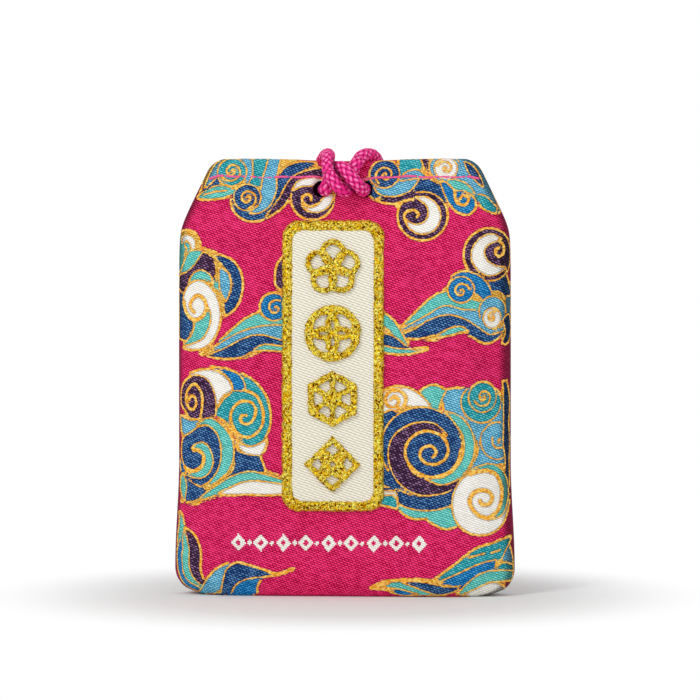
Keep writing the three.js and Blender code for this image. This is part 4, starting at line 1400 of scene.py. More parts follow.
def floor_paint():
    """Pale near the object, and further off plain white for the camera."""
    paint = Paint("floor", roughness=0.9, specular=0.1)
    paint.set("Base Color", (0.86, 0.86, 0.86))
    length = paint.made("ShaderNodeVectorMath", "Value", {0: paint.place()}, operation="LENGTH")
    white = length.ramp(FLOOR_SHADED, FLOOR_WHITE) * paint.made("ShaderNodeLightPath", "Is Camera Ray")
    shaders = {0: white, 1: Value(paint, paint.shader.outputs[0]), 2: paint.made("ShaderNodeEmission", 0)}
    both = paint.made("ShaderNodeMixShader", 0, shaders)
    paint.join(paint.first("OUTPUT_MATERIAL").inputs["Surface"], both)
    return paint.material


# Cloth


def trial_pouch(heights, shares):
    """Coarse grids of the pouch's front and back."""
    sides = []
    for side in (-1, 1):
        rows = []
        for z in heights:
            wide, deep = float(half_width(z)), float(half_depth(z))
            share, depth, _ = section(wide, deep, shares, TRIAL_PLACES)
            rows.append(np.stack([share * wide, side * depth * deep, np.full(len(share), z)], axis=1))
        sides.append(rows)
    return np.array(sides)


def sew_trial(obj, rows, columns):
    """Welds the trial's back to its front along both sides.
    Returns the points that are left and, for each point there was, the number of the one it is now."""
    count = rows * columns
    grid = np.arange(count).reshape(rows, columns)
    twin = np.arange(2 * count)
    for column in (0, -1):
        twin[count + grid[:, column]] = grid[:, column]

    def weld(work):
        pairs = {work.verts[i]: work.verts[int(t)] for i, t in enumerate(twin) if i != t}
        bmesh.ops.weld_verts(work, targetmap=pairs)

    edit_mesh(obj.data, weld)
    kept = np.nonzero(twin == np.arange(2 * count))[0]
    order = np.empty(2 * count, int)
    order[kept] = np.arange(len(kept))
    return kept, order[twin]


def blow_up(obj):
    """Runs the cloth simulation on the trial, with pressure inside, and applies it."""
    modifier = obj.modifiers.new("cloth", "CLOTH")
    for name, value in TRIAL_CLOTH.items():
        setattr(modifier.settings, name, value)
    modifier.settings.effector_weights.gravity = 0
    modifier.collision_settings.use_collision = False
    modifier.collision_settings.use_self_collision = False
    scene = bpy.context.scene
    start = scene.frame_current
    for step in range(TRIAL_FRAMES):
        scene.frame_set(step + 1)
    apply_all(obj)
    scene.frame_set(start)


def puckers():
    """How far the stuffed and sewn cloth swells and wrinkles, from a cloth simulation of the whole pouch.
    Returns a grid for each panel, over heights and over the share of the way across, in millimetres."""
    heights = np.linspace(TRIAL_FOOT, HEM_LINE - TRIAL_HEAD_ROOM, TRIAL_ROWS)
    shares = np.linspace(0, 1, TRIAL_COLUMNS)
    sides = trial_pouch(heights, shares)
    points = sides.reshape(-1, 3)
    front = quads(TRIAL_ROWS, TRIAL_COLUMNS)
    faces = np.concatenate([front, front[:, ::-1] + TRIAL_ROWS * TRIAL_COLUMNS])
    obj = new_object("cloth_trial", points * TRIAL_SCALE, faces, None)
    kept, order = sew_trial(obj, TRIAL_ROWS, TRIAL_COLUMNS)
    x, _, z = points[kept].T
    end = np.minimum(z - heights[0], heights[-1] - z)
    seam = half_width(z) - np.abs(x)
    held = np.maximum(1 - end / END_HELD, SEAM_HOLD * (1 - seam / SEAM_HELD))
    pins = obj.vertex_groups.new(name="held")
    for i, weight in enumerate(np.clip(held, LEAST_HOLD, 1)):
        pins.add([i], float(weight), "REPLACE")
    blow_up(obj)
    moved = (points_of(obj)[order] / TRIAL_SCALE).reshape(sides.shape) - sides
    bpy.data.objects.remove(obj)
    outward = (normals_of(sides[0]), -normals_of(sides[1]))
    swell = (moved * outward).sum(axis=-1)
    return heights, shares, np.clip(swell, -TRIAL_LIMIT, TRIAL_LIMIT)


def spread(grid, heights, shares, z, columns):
    """A coarse grid's values at each height and column."""
    at = np.clip((z - heights[0]) / (heights[-1] - heights[0]) * (len(heights) - 1), 0, len(heights) - 1.001)
    i = at.astype(int)
    t = (at - i)[:, None]
    rows = grid[i] * (1 - t) + grid[i + 1] * t
    want = np.linspace(0, 1, columns)
    return np.array([np.interp(want, shares, r) for r in rows])


def loose(x, z, front):
    """0 where the label or the hanging cords keep the cloth flat, 1 well away from them."""
    if not front:
        return smooth((np.abs(x - STRANDS_X) - STRANDS_HALF) / STRANDS_FADE)
    beyond_side = np.clip(np.abs(x - LABEL_X) - LABEL_WIDTH / 2, 0, None)
    beyond_end = np.clip(np.abs(z - LABEL_FOOT - LABEL_HEIGHT / 2) - LABEL_HEIGHT / 2, 0, None)
    return smooth((np.hypot(beyond_side, beyond_end) - LABEL_FLAT) / LABEL_FADE)


def from_seams(flat, x):
    """Distance from the side seams of places x across the flat cloth."""
    return np.abs(flat[:, -1:, 0]) - np.abs(x)


def panel_lift(points, flat, rows, front, swell):
    """How far each point of a panel stands off its plain form, for the stuffing, seams and stitches."""
    x, y, z = np.moveaxis(points, -1, 0)
    heights, shares, grids = swell
    face = ((rows[:, 2] > 0) & (rows[:, 1] > HEM_DEPTH / 2 - 0.01))[:, None]
    stuffed = spread(grids[0 if front else 1], heights, shares, rows[:, 0], COLUMNS + 1) * loose(x, z, front)
    stitch = (x + half_width(STITCH_Z) - STITCH_MARGIN) / STITCH_PITCH
    tight = 0.5 + 0.5 * np.cos(2 * math.pi * stitch)
    pulled = (STITCH_PULL + STITCH_PINCH * tight) * np.exp(-(((z - STITCH_Z) / STITCH_REACH) ** 2))
    wave = grain(np.stack([x, z, y], axis=-1), WRINKLE_SIZE, 5 if front else 8) - 0.5
    wrinkled = WRINKLE * wave * smooth(rows[:, 0] / WRINKLE_FOOT)[:, None]
    return (stuffed - pulled + wrinkled) * face * smooth(from_seams(flat, flat[..., 0]) / SEAM_FADE)


def seam_shade(flat, middle, front):
    """Painted shade for the cloth's colours: the light left, 1 in full, which falls towards the turned side
    seams.
    """
    x, z = middle[..., 0], middle[..., 1]
    further = np.where((x < 0) == front, 0.0, smooth((SHADE_TOP - z) / SHADE_TOP_FADE))
    return SHADE + (1 - SHADE) * smooth((from_seams(flat[:-1], x) - SHADE_EDGE - further) / SHADE_FADE)


def open_holes(place, own):
    """Turns the cloth in round the cord's holes, in place, and returns which points the holes take away."""
    gone = np.zeros(len(place), bool)
    for x in HOLES_SHOWN:
        off = place[:, [0, 2]] - (x, HOLE_Z)
        far = np.maximum(np.linalg.norm(off, axis=1), 1e-6)
        rim = (far < HOLE_RADIUS + HOLE_ROLL) & own
        pull = np.clip((HOLE_RADIUS + HOLE_ROLL - far[rim]) / HOLE_ROLL, 0, 1.5)
        place[rim, 1] += HOLE_ROLL_DEPTH * pull**2
        inside = (far < HOLE_RADIUS) & own
        place[np.ix_(inside, [0, 2])] = (x, HOLE_Z) + off[inside] / far[inside, None] * HOLE_RADIUS
        gone |= inside
    return gone


def panel_form(cloth, front, swell):
    """A panel's points with the holes opened, its flat places, its drawing and the points gone."""
    points, flat, rows = panel_grid(CELL, COLUMNS, front)
    if front:
        relax_fold(points, rows)
    lift = panel_lift(points, flat, rows, front, swell)
    points = points - sag(points[..., 0], rows[:, :1])[..., None] * (0.0, 0.0, 1.0)
    drawing = woven(flat, front, cloth.outline_width / MM)
    edge = np.clip(drawing.away - drawing.half, 0, None).reshape(lift.shape)
    raised = (drawing.colour > 0).reshape(lift.shape) * 0.5 + 0.5 * np.exp(-(edge**2) / EDGE_ROUND)
    raised = raised * smooth((from_seams(flat, flat[..., 0]) - 1.0) / 2.0)
    points = points + normals_of(points) * (lift + raised * cloth.relief / MM)[..., None]
    gone = open_holes(points.reshape(-1, 3), np.repeat(rows[:, 2] > 0, COLUMNS + 1))
    return points, flat, drawing, gone


def brocade_panel(context, side, swell):
    """The outer cloth of the front (side -1) or back (side 1), with its clouds woven in."""
    cloth = context.scene.charm_bag_cloth
    front = side < 0
    points, flat, drawing, gone = panel_form(cloth, front, swell)
    middle = (flat[:-1, :-1] + flat[1:, 1:]) / 2
    cells = woven(middle, front, cloth.outline_width / MM)
    if front:
        draw_lozenges(cells)
    shade = seam_shade(flat, middle, front).reshape(-1, 1)
    tones = np.array([(*seen(cloth, name), 1.0) for name in COLOUR_NAMES])[cells.colour]
    # The painted highlight colour of each cell's floats
    float_highlights = np.array([(*dyed(*colour), level) for colour, level in FLOAT_HIGHLIGHTS.values()])[cells.colour]
    # Painted shade at the side seams darkens the woven colours and the painted highlights
    for colours in (tones, float_highlights):
        colours[:, :3] *= shade

    faces = quads(*flat.shape[:2])
    keep = ~gone[faces].all(axis=1)
    kept = faces[keep] if front else faces[keep][:, ::-1]
    used, index = np.unique(kept, return_inverse=True)
    name = "brocade_front" if front else "brocade_back"
    place = points.reshape(-1, 3) * (1.0, -side, 1.0)
    obj = new_object(name, place[used], index.reshape(-1, 4), brocade_paint(cloth, name))
    set_uv(obj, flat.reshape(-1, 2)[kept])
    set_colours(obj, "woven", np.repeat(tones[keep], 4, axis=0), "CORNER")
    set_colours(obj, "float_highlights", np.repeat(float_highlights[keep], 4, axis=0), "CORNER")
    # Outlines are wider where they border the ground
    half = drawing.half + np.where(drawing.colour == 0, GROUND_SIDE, 0.0)
    set_colours(obj, "outline", np.column_stack([drawing.way, half, drawing.away])[used], "POINT")
    dress(obj, "pouch", "brocade", "front_panel" if front else "back_panel")
    patches = np.cross(np.gradient(points, axis=0), np.gradient(points, axis=1))
    area = float(np.linalg.norm(patches, axis=2).sum()) * MM**2
    wide = (flat[..., 0].max() - flat[..., 0].min()) * MM
    tall = (flat[-1, 0, 1] - flat[0, 0, 1]) * MM
    min(area, wide * tall)


def hole_edges(side, material):
    """The turned-in cloth round each hole, which closes on the cord inside, its floor a dark sheet coloured
    with painted deep shade that stands for the shade in the hole.
    """
    angle = circle(40)
    points, faces = [], []
    for x in HOLES_SHOWN:
        start = len(points) * len(angle)
        for reach, rise in HOLE_PROFILE:
            px, pz = round_line(x, HOLE_Z, reach, angle).T
            ragged = 0.03 * np.sin(angle * 11) * (reach > 1.0)
            points.append(np.stack([px, side * (surface(px, pz) + rise + ragged), pz], axis=1))
        ring = quads(len(HOLE_PROFILE), len(angle), closed=True)
        faces.append((ring if side > 0 else ring[:, ::-1]) + start)
    name = "hole_edges_front" if side < 0 else "hole_edges_back"
    dress(new_object(name, np.concatenate(points), np.concatenate(faces), material), "pouch", "brocade")


def lining(context, side):
    """The wrong side of a panel's cloth, inside the pouch."""
    front = side < 0
    points, flat, rows = panel_grid(LINING_CELL, LINING_COLUMNS, front, CLOTH)
    use = (rows[:, 0] > LINING_FOOT) & (rows[:, 0] < LINING_TOP) & (rows[:, 2] > 0)
    faces = quads(use.sum(), LINING_COLUMNS + 1)
    if front:
        faces = faces[:, ::-1]
    name = "lining_front" if front else "lining_back"
    material = lining_paint(context.scene.charm_bag_cloth)
    obj = new_object(name, points[use].reshape(-1, 3) * (1.0, -side, 1.0), faces, material)
    set_uv(obj, flat[use].reshape(-1, 2)[faces])
    dress(obj, "pouch", "brocade")


# Label


def label_ground(context):
    """The cream ground, a thin woven patch inside the gold frame."""
    inset = FRAME_BAND + SKIN_GAP - LABEL_TUCK
    foot, top = LABEL_FOOT + inset, LABEL_FOOT + LABEL_HEIGHT - inset
    half = LABEL_WIDTH / 2 - inset
    corner = max(0.2, LABEL_CORNER - inset)
    z = np.linspace(foot, top, LABEL_ROWS)
    near = np.clip(corner - np.minimum(z - foot, top - z), 0, corner)
    wide = half - corner + np.sqrt(corner**2 - near**2)
    share = np.linspace(-1, 1, LABEL_COLUMNS)
    x = LABEL_X + wide[:, None] * share
    z = np.repeat(z[:, None], len(share), axis=1)
    skin = surface(x, z)
    uneven = lumps(np.stack([x, z, skin], axis=-1), (0.06, 2.4, 3, 0.5))
    rim = np.minimum(1 - np.abs(share), np.minimum(z - foot, top - z) / half)
    lift = LABEL_BED + LABEL_RISE * (LABEL_EDGE + (1 - LABEL_EDGE) * smooth(rim / LABEL_RIM)) + uneven
    points = np.stack([x, -(skin + lift), z], axis=-1)
    material = label_paint(context.scene.charm_bag_cloth)
    obj = new_object("label_ground_cloth", points, quads(*x.shape), material)
    skirt = obj.modifiers.new("thickness", "SOLIDIFY")
    skirt.thickness = LABEL_THICKNESS * MM
    skirt.offset = -1
    apply_all(obj)
    dress(obj, "pouch", "label_cloth", "label_ground")


def frame_loop(inset, corner):
    """A rounded rectangle round the label, anticlockwise from the front."""
    left, right = LABEL_X - LABEL_WIDTH / 2 + inset, LABEL_X + LABEL_WIDTH / 2 - inset
    foot, top = LABEL_FOOT + inset, LABEL_FOOT + LABEL_HEIGHT - inset
    centres = (
        (right - corner, foot + corner, -90), (right - corner, top - corner, 0),
        (left + corner, top - corner, 90), (left + corner, foot + corner, 180),
    )
    parts = []
    for x, z, start in centres:
        parts.append(round_line(x, z, corner, np.radians(np.linspace(start, start + 90, 40))))
    return np.concatenate([*parts, parts[0][:1]])


def gold_frame(material):
    """The band of gold thread round the label, crowned and a little ragged."""
    bands = np.linspace(-1, 1, FRAME_BANDS)
    loops = []
    for band in bands:
        share = (band + 1) / 2
        loops.append(frame_loop((FRAME_BAND + FRAME_SPREAD) * share, LABEL_CORNER - FRAME_NARROWS * share))
    # Each loop is cut at the same share of each side and corner as the outer one, so the bands stay in line
    run = runs(loops[0])
    numbers = np.arange(len(run))
    cuts = np.interp(np.linspace(0, run[-1], FRAME_STEPS, endpoint=False), run, numbers)
    grid = np.array([np.stack([np.interp(cuts, numbers, k) for k in loop.T], axis=1) for loop in loops])

    def at_level(level):
        return np.concatenate([grid, np.full((*grid.shape[:2], 1), level)], axis=-1)

    ragged = lumps(at_level(0.0), (0.34, 0.5, 31, 0.5))
    outward = grid[:1] - grid[-1:]
    outward = outward / np.linalg.norm(outward, axis=2, keepdims=True)
    edge = (bands**2 * np.sign(-bands))[:, None, None]
    grid = grid + outward * edge * ragged[..., None]
    crown = ((1 - np.abs(bands) ** 3.5) ** 0.6)[:, None]
    uneven = lumps(at_level(5.0), (0.3, 0.34, 33, 0.5)) + lumps(at_level(9.0), (0.14, 0.17, 34, 0.5))
    x, z = grid[..., 0], grid[..., 1]
    depth = surface(x, z) + FRAME_BED + (FRAME_RISE + uneven) * crown
    faces = quads(FRAME_BANDS, FRAME_STEPS, closed=True)[:, ::-1]
    obj = new_object("frame_gold", np.stack([x, -depth, z], axis=-1), faces, material)
    dress(obj, "pouch", "gold_thread", "gold_frame")


# Cords


def even_spline(points):
    """A centripetal spline through points, as the part's source draws its cords, at even steps.
    Returns it with its length."""
    p = np.asarray(points, float)
    p = np.concatenate([[2 * p[0] - p[1]], p, [2 * p[-1] - p[-2]]])
    out = []
    t = np.linspace(0, 1, 24, endpoint=False)[:, None]
    for a, b, c, d in zip(p[:-3], p[1:-2], p[2:-1], p[3:]):
        da, db, dc = (math.sqrt(max(np.linalg.norm(v), 1e-6)) for v in (b - a, c - b, d - c))
        one = ((b - a) / da - (c - a) / (da + db) + (c - b) / db) * db
        two = ((c - b) / db - (d - b) / (db + dc) + (d - c) / dc) * db
        cubic = (2 * b - 2 * c + one + two) * t**3
        out.append(b + one * t + (-3 * b + 3 * c - 2 * one - two) * t**2 + cubic)
    line = np.concatenate([*out, p[-2:-1]])
    run = runs(line)
    want = np.linspace(0, run[-1], max(8, int(run[-1] / CORD_STEP)))
    return np.stack([np.interp(want, run, k) for k in line.T], axis=1), run[-1]


def tube(line, sides, radius):
    """Rings of points round a line, turned as little as possible along it."""
    along = np.gradient(line, axis=0)
    along /= np.linalg.norm(along, axis=1, keepdims=True)
    first = np.array([0.0, 0.0, 1.0])
    if abs(first @ along[0]) > 0.9:
        first = np.array([1.0, 0.0, 0.0])
    across = first - (first @ along[0]) * along[0]
    out = []
    for direction in along:
        across = across - (across @ direction) * direction
        across = across / np.linalg.norm(across)
        out.append(across)
    across = np.array(out)[:, None]
    other = np.cross(along, across[:, 0])[:, None]
    angle = circle(sides)[:, None]
    return line[:, None] + (across * np.cos(angle) + other * np.sin(angle)) * radius


def cap_ends(obj, rings, sides):
    """Closes both ends of a tube on its last two points."""
    last = (rings - 1) * sides
    caps = rings * sides

    def close(work):
        for i in range(sides):
            j = (i + 1) % sides
            for corners in ((j, i, caps), (last + i, last + j, caps + 1)):
                work.faces.new([work.verts[k] for k in corners]).smooth = False
        bmesh.ops.recalc_face_normals(work, faces=work.faces)

    edit_mesh(obj.data, close)


def braided(name, points, material):
    """A round braided cord through points, in millimetres. Returns the object, its line and its length."""
    line, length = even_spline(points)
    angle = circle(CORD_SIDES)[None]
    along = np.linspace(0, length, len(line))[:, None]
    one = BRAID_STRANDS * (angle + 2 * math.pi * along / BRAID_LAY)
    two = BRAID_STRANDS * (angle - 2 * math.pi * along / BRAID_LAY)
    parity = np.cos(one / 2) * np.cos(two / 2)
    first = np.abs(np.cos(one / 2)) ** BRAID_ROUND * (1 + parity)
    second = np.abs(np.cos(two / 2)) ** BRAID_ROUND * (1 - parity)
    height = np.maximum(first, second) / 2
    radius = CORD / 2 * (BRAID_CORE + BRAID_RELIEF * height)
    rings = tube(line, CORD_SIDES, radius[..., None])
    faces = quads(*height.shape, closed=True)
    obj = new_object(name, np.concatenate([rings.reshape(-1, 3), line[:1], line[-1:]]), faces, material)
    around = np.arange(CORD_SIDES) / CORD_SIDES
    uv = np.stack(np.broadcast_arrays(around, along), axis=-1).reshape(-1, 2)[faces]
    # The faces that close the ring go on from its end, not back to its start
    closing = np.ptp(uv[..., 0], axis=1) > 0.5
    uv[closing, :, 0] += uv[closing, :, 0] < 0.5
    set_uv(obj, uv, "braid")
    cap_ends(obj, len(line), CORD_SIDES)
    return obj, line, length


def shade_crevices(cords):
    """Stores how near each point of the cords lies to another cord, or to another part of its own, as the
    depth of the painted shade in the crevices.
    """
    for obj, line, _ in cords:
        points = points_of(obj)
        rings = np.minimum(np.arange(len(points)) * len(line) // max(len(points) - 2, 1), len(line) - 1)
        nearest = np.full(len(points), FAR_OFF)
        for other, beside, _ in cords:
            gaps = [np.linalg.norm(line[i] - beside[j]) for i in (0, -1) for j in (0, -1)]
            if other is not obj and min(gaps) < CORD:
                continue
            apart = np.linalg.norm(points[:, None] - beside[None, ::3], axis=2)
            if other is obj:
                step = np.linalg.norm(np.diff(line, axis=0), axis=1).mean()
                along = np.abs(rings[:, None] - np.arange(0, len(line), 3)) * step
                apart[along < OWN_CREVICE] = FAR_OFF
            nearest = np.minimum(nearest, apart.min(axis=1))
        depth = np.clip(1 - (nearest - CORD / 2) / CREVICE_REACH, 0, 1) ** 1.5
        layer = obj.data.attributes.new("crevice", "FLOAT", "POINT")
        layer.data.foreach_set("value", depth.astype(np.float32))


def on_turn(x, degrees):
    """A point of a turn of cord over the hem, in degrees from the front."""
    angle = math.radians(degrees)
    up = math.sin(angle)
    return (x, -TURN_RADIUS * math.cos(angle), TURN_Z + TURN_RADIUS * up - ARC_DIP * up * up)


def from_hem(x, y, drop):
    """A point so far below the hem."""
    return (x, y, POUCH_HEIGHT - drop)


def hole_bend(side):
    """The binding cord's way out of a hole behind."""
    outside = float(surface(HOLE_X, HOLE_Z)) - HOLE_PLAY
    radius = ON_CLOTH + HOLE_PLAY
    out = []
    for degrees in (0, 30, 60, 90):
        angle = math.radians(degrees)
        x = side * (HOLE_X - radius * (1 - math.cos(angle)))
        out.append((x, outside + radius * math.sin(angle), HOLE_Z))
    return out


# Points of the cords on the front: x, y and how far they lie below the hem
BINDING = (
    (2.95, -3.0, 4.75), (2.75, -4.1, 4.5), (2.25, -5.1, 3.85), (1.5, -5.55, 3.0), (0.75, -5.45, 2.15),
    (0.1, -4.85, 1.5), (-0.5, -4.0, 1.45), (-1.0, -3.4, 2.1), (-1.55, -3.25, 2.9), (-2.1, -3.35, 3.6),
    (-2.4, -3.2, 4.3), (-2.6, -2.5, 4.7),
)
BIGHT = (
    (-1.6, -5.35, 2.7), (-1.15, -5.5, 3.4), (-0.65, -5.35, 4.05), (-0.1, -4.9, 4.6), (0.5, -4.2, 4.75),
    (0.95, -3.65, 4.3), (1.1, -3.3, 3.6), (1.2, -3.1, 2.8), (1.4, -2.95, 1.95), (1.75, -2.7, 1.1),
)
LEFT_TURN = ((-1.9, -5.18, 2.26), (-2.0, -4.9, 1.75), (-2.1, -4.15, 1.0), (-2.15, -3.0, 0.15))
# Points of the turns over the hem: x and degrees from the front
LEFT_ARC = ((-2.25, 65), (-2.45, 90), (-2.8, 115), (-3.25, 142), (LEFT_BACK_X, BACK_DEGREES))
RIGHT_ARC = (
    (2.2, 28), (2.6, 50), (3.15, 75), (3.7, 100), (4.2, 125), (4.55, 148), (RIGHT_BACK_X, BACK_DEGREES),
)
# Points of a strand down the back: x outwards, share of the height above the knot, lift off the cloth
STRAND = (
    (5.2, 0.895, ON_STITCH + 0.1), (5.5, 0.826, ON_CLOTH + 0.25), (5.8, 0.717, ON_CLOTH),
    (5.9, 0.586, ON_CLOTH), (5.7, 0.434, ON_CLOTH), (4.9, 0.292, ON_CLOTH + 0.25),
    (3.5, 0.183, ON_CLOTH + 1.1), (2.0, 0.096, KNOT_LIFT - 0.35),
)
# Points of a tail: x outwards, y from the knot, height
TAIL = (
    (STRAND_GAP, 0.0, KNOT_TOP + 0.1), (0.8, 0.0, KNOT_Z), (STRAND_GAP, 0.0, KNOT_FOOT - 0.3),
    (STRAND_GAP + 0.2, 0.0, KNOT_FOOT - 2.17), (STRAND_GAP + 0.7, -0.4, KNOT_FOOT - 4.33),
    (STRAND_GAP + 1.3, -0.9, KNOT_FOOT - 6.5),
)


def strand_points(side, back_x, knot_y):
    """A strand of the loop, from its turn over the hem down to the knot."""
    first_row = (0.7 * abs(back_x) + 1.55, 0.939, ON_STITCH + 0.16)
    points = [on_turn(back_x, BACK_DEGREES)]
    for out, share, lift in (first_row, *STRAND):
        x, z = side * out, KNOT_TOP + (POUCH_HEIGHT - KNOT_TOP) * share
        points.append((x, float(surface(x, z)) + lift, z))
    for gap, above in ((0.15, 1.6), (0.0, 0.3)):
        points.append((side * (STRAND_GAP + gap), knot_y, KNOT_TOP + above))
    return points


def knot_points(knot_y):
    """The end knot, a trefoil."""
    t = np.linspace(0, 2 * math.pi, 49) + math.pi / 6
    x = KNOT_SIZE * (np.sin(t) + 2 * np.sin(2 * t))
    z = KNOT_Z + KNOT_SIZE * (np.cos(t) - 2 * np.cos(2 * t)) + KNOT_RISE
    return np.stack([x, knot_y - KNOT_DEPTH * np.sin(3 * t), z], axis=1)


# Steps


def add_lamp(name, place, size, power):
    """A round soft lamp that points at the object."""
    data = bpy.data.lights.new(name, "AREA")
    data.shape = "DISK"
    data.size = size
    data.energy = power
    lamp = bpy.data.objects.new(name, data)
    lamp.location = place
    lamp.rotation_euler = (Vector(LAMP_AIM) - Vector(place)).to_track_quat("-Z", "Y").to_euler()
    bpy.context.scene.collection.objects.link(lamp)


class CHARMBAG_OT_camera(bpy.types.Operator):
    """Place the camera in front of the object, a little to its right"""

    bl_idname = "charm_bag.camera"
    bl_label = "Camera"

    def execute(self, context):
        stage = context.scene.charm_bag_stage
        data = bpy.data.cameras.new("camera")
        data.sensor_width = SENSOR
        data.lens = SENSOR * stage.distance / stage.width
        data.clip_start = 0.01
        camera = bpy.data.objects.new("camera", data)
        azimuth, elevation = math.radians(CAMERA_AZIMUTH), math.radians(CAMERA_ELEVATION)
        level = math.cos(elevation)
        away = Vector((math.sin(azimuth) * level, -math.cos(azimuth) * level, math.sin(elevation)))
        camera.location = Vector(CAMERA_AIM) + away * stage.distance
        camera.rotation_euler = (-away).to_track_quat("-Z", "Y").to_euler()
        context.scene.collection.objects.link(camera)
        context.scene.camera = camera
        return {"FINISHED"}


class CHARMBAG_OT_stage(bpy.types.Operator):
    """Make the pale floor, the white surroundings and the soft lamps"""

    bl_idname = "charm_bag.stage"
    bl_label = "Stage"

    def execute(self, context):
        stage = context.scene.charm_bag_stage
        bpy.ops.mesh.primitive_plane_add(size=6)
        floor = context.active_object
        floor.name = "floor"
        floor.data.materials.append(floor_paint())

        # The camera and glass see plain white, all else the even light
        world = bpy.data.worlds.new("world")
        context.scene.world = world
        tree = Tree(world, "BACKGROUND")
        camera, glass = (tree.made("ShaderNodeLightPath", f"Is {k} Ray") for k in ("Camera", "Transmission"))
        tree.set("Color", (1, 1, 1))
        tree.set("Strength", camera.maximum(glass) * (1.0 - stage.fill) + stage.fill)
        add_lamp("key", (-0.28, -0.42, 0.42), 0.18, stage.key)
        add_lamp("front", (0.16, -0.5, 0.12), 0.3, stage.key * 0.3)
        context.scene.view_settings.view_transform = "Standard"
        return {"FINISHED"}


class CHARMBAG_OT_cords(bpy.types.Operator):
    """Braid the loop's two strands, its turns over the hem, its front bight, the binding cord and the knot"""

    bl_idname = "charm_bag.cords"
    bl_label = "Cords"

    def execute(self, context):
        material = cord_paint(context.scene.charm_bag_trim)
        knot_y = float(surface(0, KNOT_Z)) + KNOT_LIFT
        cords = []

        def cord(name, points, body, node):
            cords.append(braided(name, points, material))
            obj = cords[-1][0]
            if body:
                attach(obj, body)
            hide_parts(node)
            return cords[-1]

        on_knot = [cord("loop_knot_cord", knot_points(knot_y), "hanging_loop", "loop_knot")[0]]
        for side, name in ((-1, "left"), (1, "right")):
            points = [(side * x, knot_y + y, z) for x, y, z in TAIL]
            on_knot.append(cord(f"tail_{name}", points, "hanging_loop", f"loop_tail_{name}")[0])
        for side, name, back_x in ((-1, "left", LEFT_BACK_X), (1, "right", RIGHT_BACK_X)):
            points = strand_points(side, back_x, knot_y)
            strand, line, length = cord(f"strand_{name}", points, "hanging_loop", f"loop_strand_{name}")
            tuple(line[0] * MM)
            length * MM
            (line * MM).tolist()
        left = [from_hem(*p) for p in LEFT_TURN] + [on_turn(*p) for p in LEFT_ARC]
        right = [on_turn(*p) for p in RIGHT_ARC]
        for name, points in (("left", left), ("right", right)):
            turn, _, _ = cord(f"turn_{name}", points, None, f"hanging_cord_turn_{name}")
            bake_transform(turn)
        bight = [*(from_hem(*p) for p in (LEFT_TURN[0], *BIGHT)), on_turn(2.1, 20), right[0]]
        cord("bight", bight, "pouch", "hanging_cord_bight")
        binding = [
            (-HOLE_X, 0.15, HOLE_Z), *hole_bend(-1), *hole_bend(1)[::-1], (HOLE_X, 0, HOLE_Z),
            (2.95, -1.9, HOLE_Z), *[from_hem(*p) for p in BINDING], (-2.8, -1.5, HOLE_Z),
            (-3.15, -0.15, HOLE_Z),
        ]
        cord("binding", binding, "pouch", "binding_cord")
        shade_crevices(cords)
        return {"FINISHED"}


class CHARMBAG_OT_cloth(bpy.types.Operator):
    """Weave the two brocade panels, folded, stuffed and sewn, and their wrong sides"""

    bl_idname = "charm_bag.cloth"
    bl_label = "Brocade"

    def execute(self, context):
        swell = puckers()
        dark = hole_shade_paint()
        for side in (-1, 1):
            hole_edges(side, dark)
            brocade_panel(context, side, swell)
            lining(context, side)
        return {"FINISHED"}


class CHARMBAG_OT_label(bpy.types.Operator):
    """Lay the cream label with its gold frame and four gold ornaments"""

    bl_idname = "charm_bag.label"
    bl_label = "Label"

    def execute(self, context):
        label_ground(context)
        gold = gold_paint(context.scene.charm_bag_trim)
        gold_frame(gold)
        for name in ("plum_blossom", "linked_rings", "tortoiseshell", "flower_lozenge"):
            node = f"ornament_{name}"
            obj = swollen_copy(f"{name}_gold", node, 0.12, 3, GOLD_LUMPS, gold)
            dress(obj, "pouch", "gold_thread", node)
        return {"FINISHED"}


class CHARMBAG_OT_stitches(bpy.types.Operator):
    """Sew the running stitches along both hems"""

    bl_idname = "charm_bag.stitches"
    bl_label = "Hem stitches"

    def execute(self, context):
        material = thread_paint(context.scene.charm_bag_trim)
        reach = float(half_width(STITCH_Z)) - STITCH_MARGIN
        x = np.linspace(-reach, reach, STITCH_STEPS)
        phase = (x + reach) / STITCH_PITCH
        # The thread stands up in the middle of each stitch, sways a little and drops at both ends
        above = np.clip(np.abs(np.sin(math.pi * phase)) * STITCH_FULL, 0, 1)
        sway = 0.12 * np.sin(phase * 1.1 + 1) + 0.07 * np.sin(phase * math.pi)
        sway = sway - STITCH_DROP * smooth((np.abs(x) - reach + STITCH_END) / STITCH_END) ** 2
        z = STITCH_Z + sway
        lift = STITCH_SUNK + STITCH_RISE * above
        for side, name in ((-1, "front"), (1, "back")):
            line = np.stack([x, side * (surface(x, z) + lift), z - sag(x, STITCH_Z)], axis=1)
            points = tube(line, THREAD_SIDES, THREAD_RADIUS)
            faces = quads(STITCH_STEPS, THREAD_SIDES, closed=True)
            obj = new_object(f"stitches_{name}", points, faces, material)
            dress(obj, "pouch", "sewing_thread", f"hem_stitch_{name}")
        return {"FINISHED"}


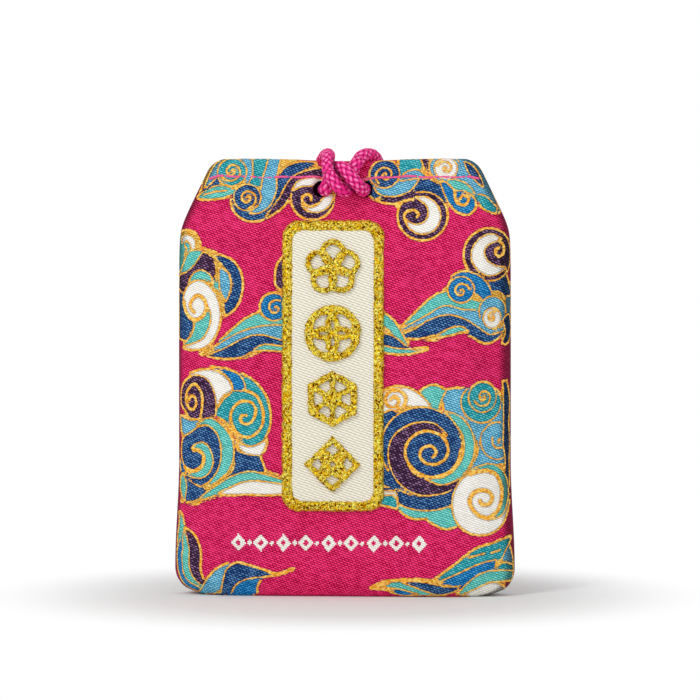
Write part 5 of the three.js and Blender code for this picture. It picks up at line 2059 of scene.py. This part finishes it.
class CHARMBAG_OT_contents(bpy.types.Operator):
    """Dress the card, the wrapped tablet and the two layers of padding inside"""

    bl_idname = "charm_bag.contents"
    bl_label = "Contents"

    def execute(self, context):
        cotton = fibre_paint(
            "cotton_wadding", (0.9, 7.0), (0.72, 0.7, 0.64), (0.93, 0.92, 0.88), (0.3, 0.65), 0.3,
            roughness=0.95, specular=0.1, sheen=0.3,
        )
        card = fibre_paint(
            "card", (2.2, 5.0), (0.36, 0.31, 0.24), (0.58, 0.52, 0.42), (0.35, 0.65), 0.05,
            roughness=0.85, specular=0.2,
        )
        paper = fibre_paint(
            "wrapping_paper", (1.1, 6.0), (0.8, 0.77, 0.68), (0.92, 0.9, 0.84), (0.3, 0.7), 0.06,
            roughness=0.8, specular=0.2,
        )
        for side in ("front", "back"):
            obj = swollen_copy(f"wadding_{side}", f"{side}_padding", 0.3, 4, COTTON_LUMPS, cotton)
            dress(obj, "pouch", "cotton_wadding", f"{side}_padding")
        kept = (("stiffener_card", card), ("amulet_tablet", wood_paint()), ("amulet_wrapper", paper))
        for node, material in kept:
            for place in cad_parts[node].material_slots:
                place.material = material
        return {"FINISHED"}


class CHARMBAG_PT_panel(bpy.types.Panel):
    """Lists the steps and settings of the charm bag"""

    bl_idname = "CHARMBAG_PT_panel"
    bl_label = "Charm bag"
    bl_space_type = "VIEW_3D"
    bl_region_type = "UI"
    bl_category = "Charm bag"

    def draw(self, context):
        for operator in OPERATORS:
            self.layout.operator(operator.bl_idname)
        for group in GROUPS:
            box = self.layout.box()
            settings = getattr(context.scene, group)
            for name in settings.__annotations__:
                box.prop(settings, name)


GROUPS = {
    "charm_bag_cloth": CharmBagCloth,
    "charm_bag_trim": CharmBagTrim,
    "charm_bag_stage": CharmBagStage,
}
OPERATORS = (
    CHARMBAG_OT_camera,
    CHARMBAG_OT_cords,
    CHARMBAG_OT_stage,
    CHARMBAG_OT_cloth,
    CHARMBAG_OT_label,
    CHARMBAG_OT_stitches,
    CHARMBAG_OT_contents,
)
CLASSES = (*GROUPS.values(), *OPERATORS, CHARMBAG_PT_panel)


def register():
    for item in CLASSES:
        bpy.utils.register_class(item)
    for name, group in GROUPS.items():
        setattr(bpy.types.Scene, name, PointerProperty(type=group))


def unregister():
    for name in GROUPS:
        delattr(bpy.types.Scene, name)
    for item in reversed(CLASSES):
        bpy.utils.unregister_class(item)


def main():
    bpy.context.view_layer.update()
    register()
    for operator in OPERATORS:
        group, name = operator.bl_idname.split(".")
        getattr(getattr(bpy.ops, group), name)()


if __name__ == "__main__":
    main()
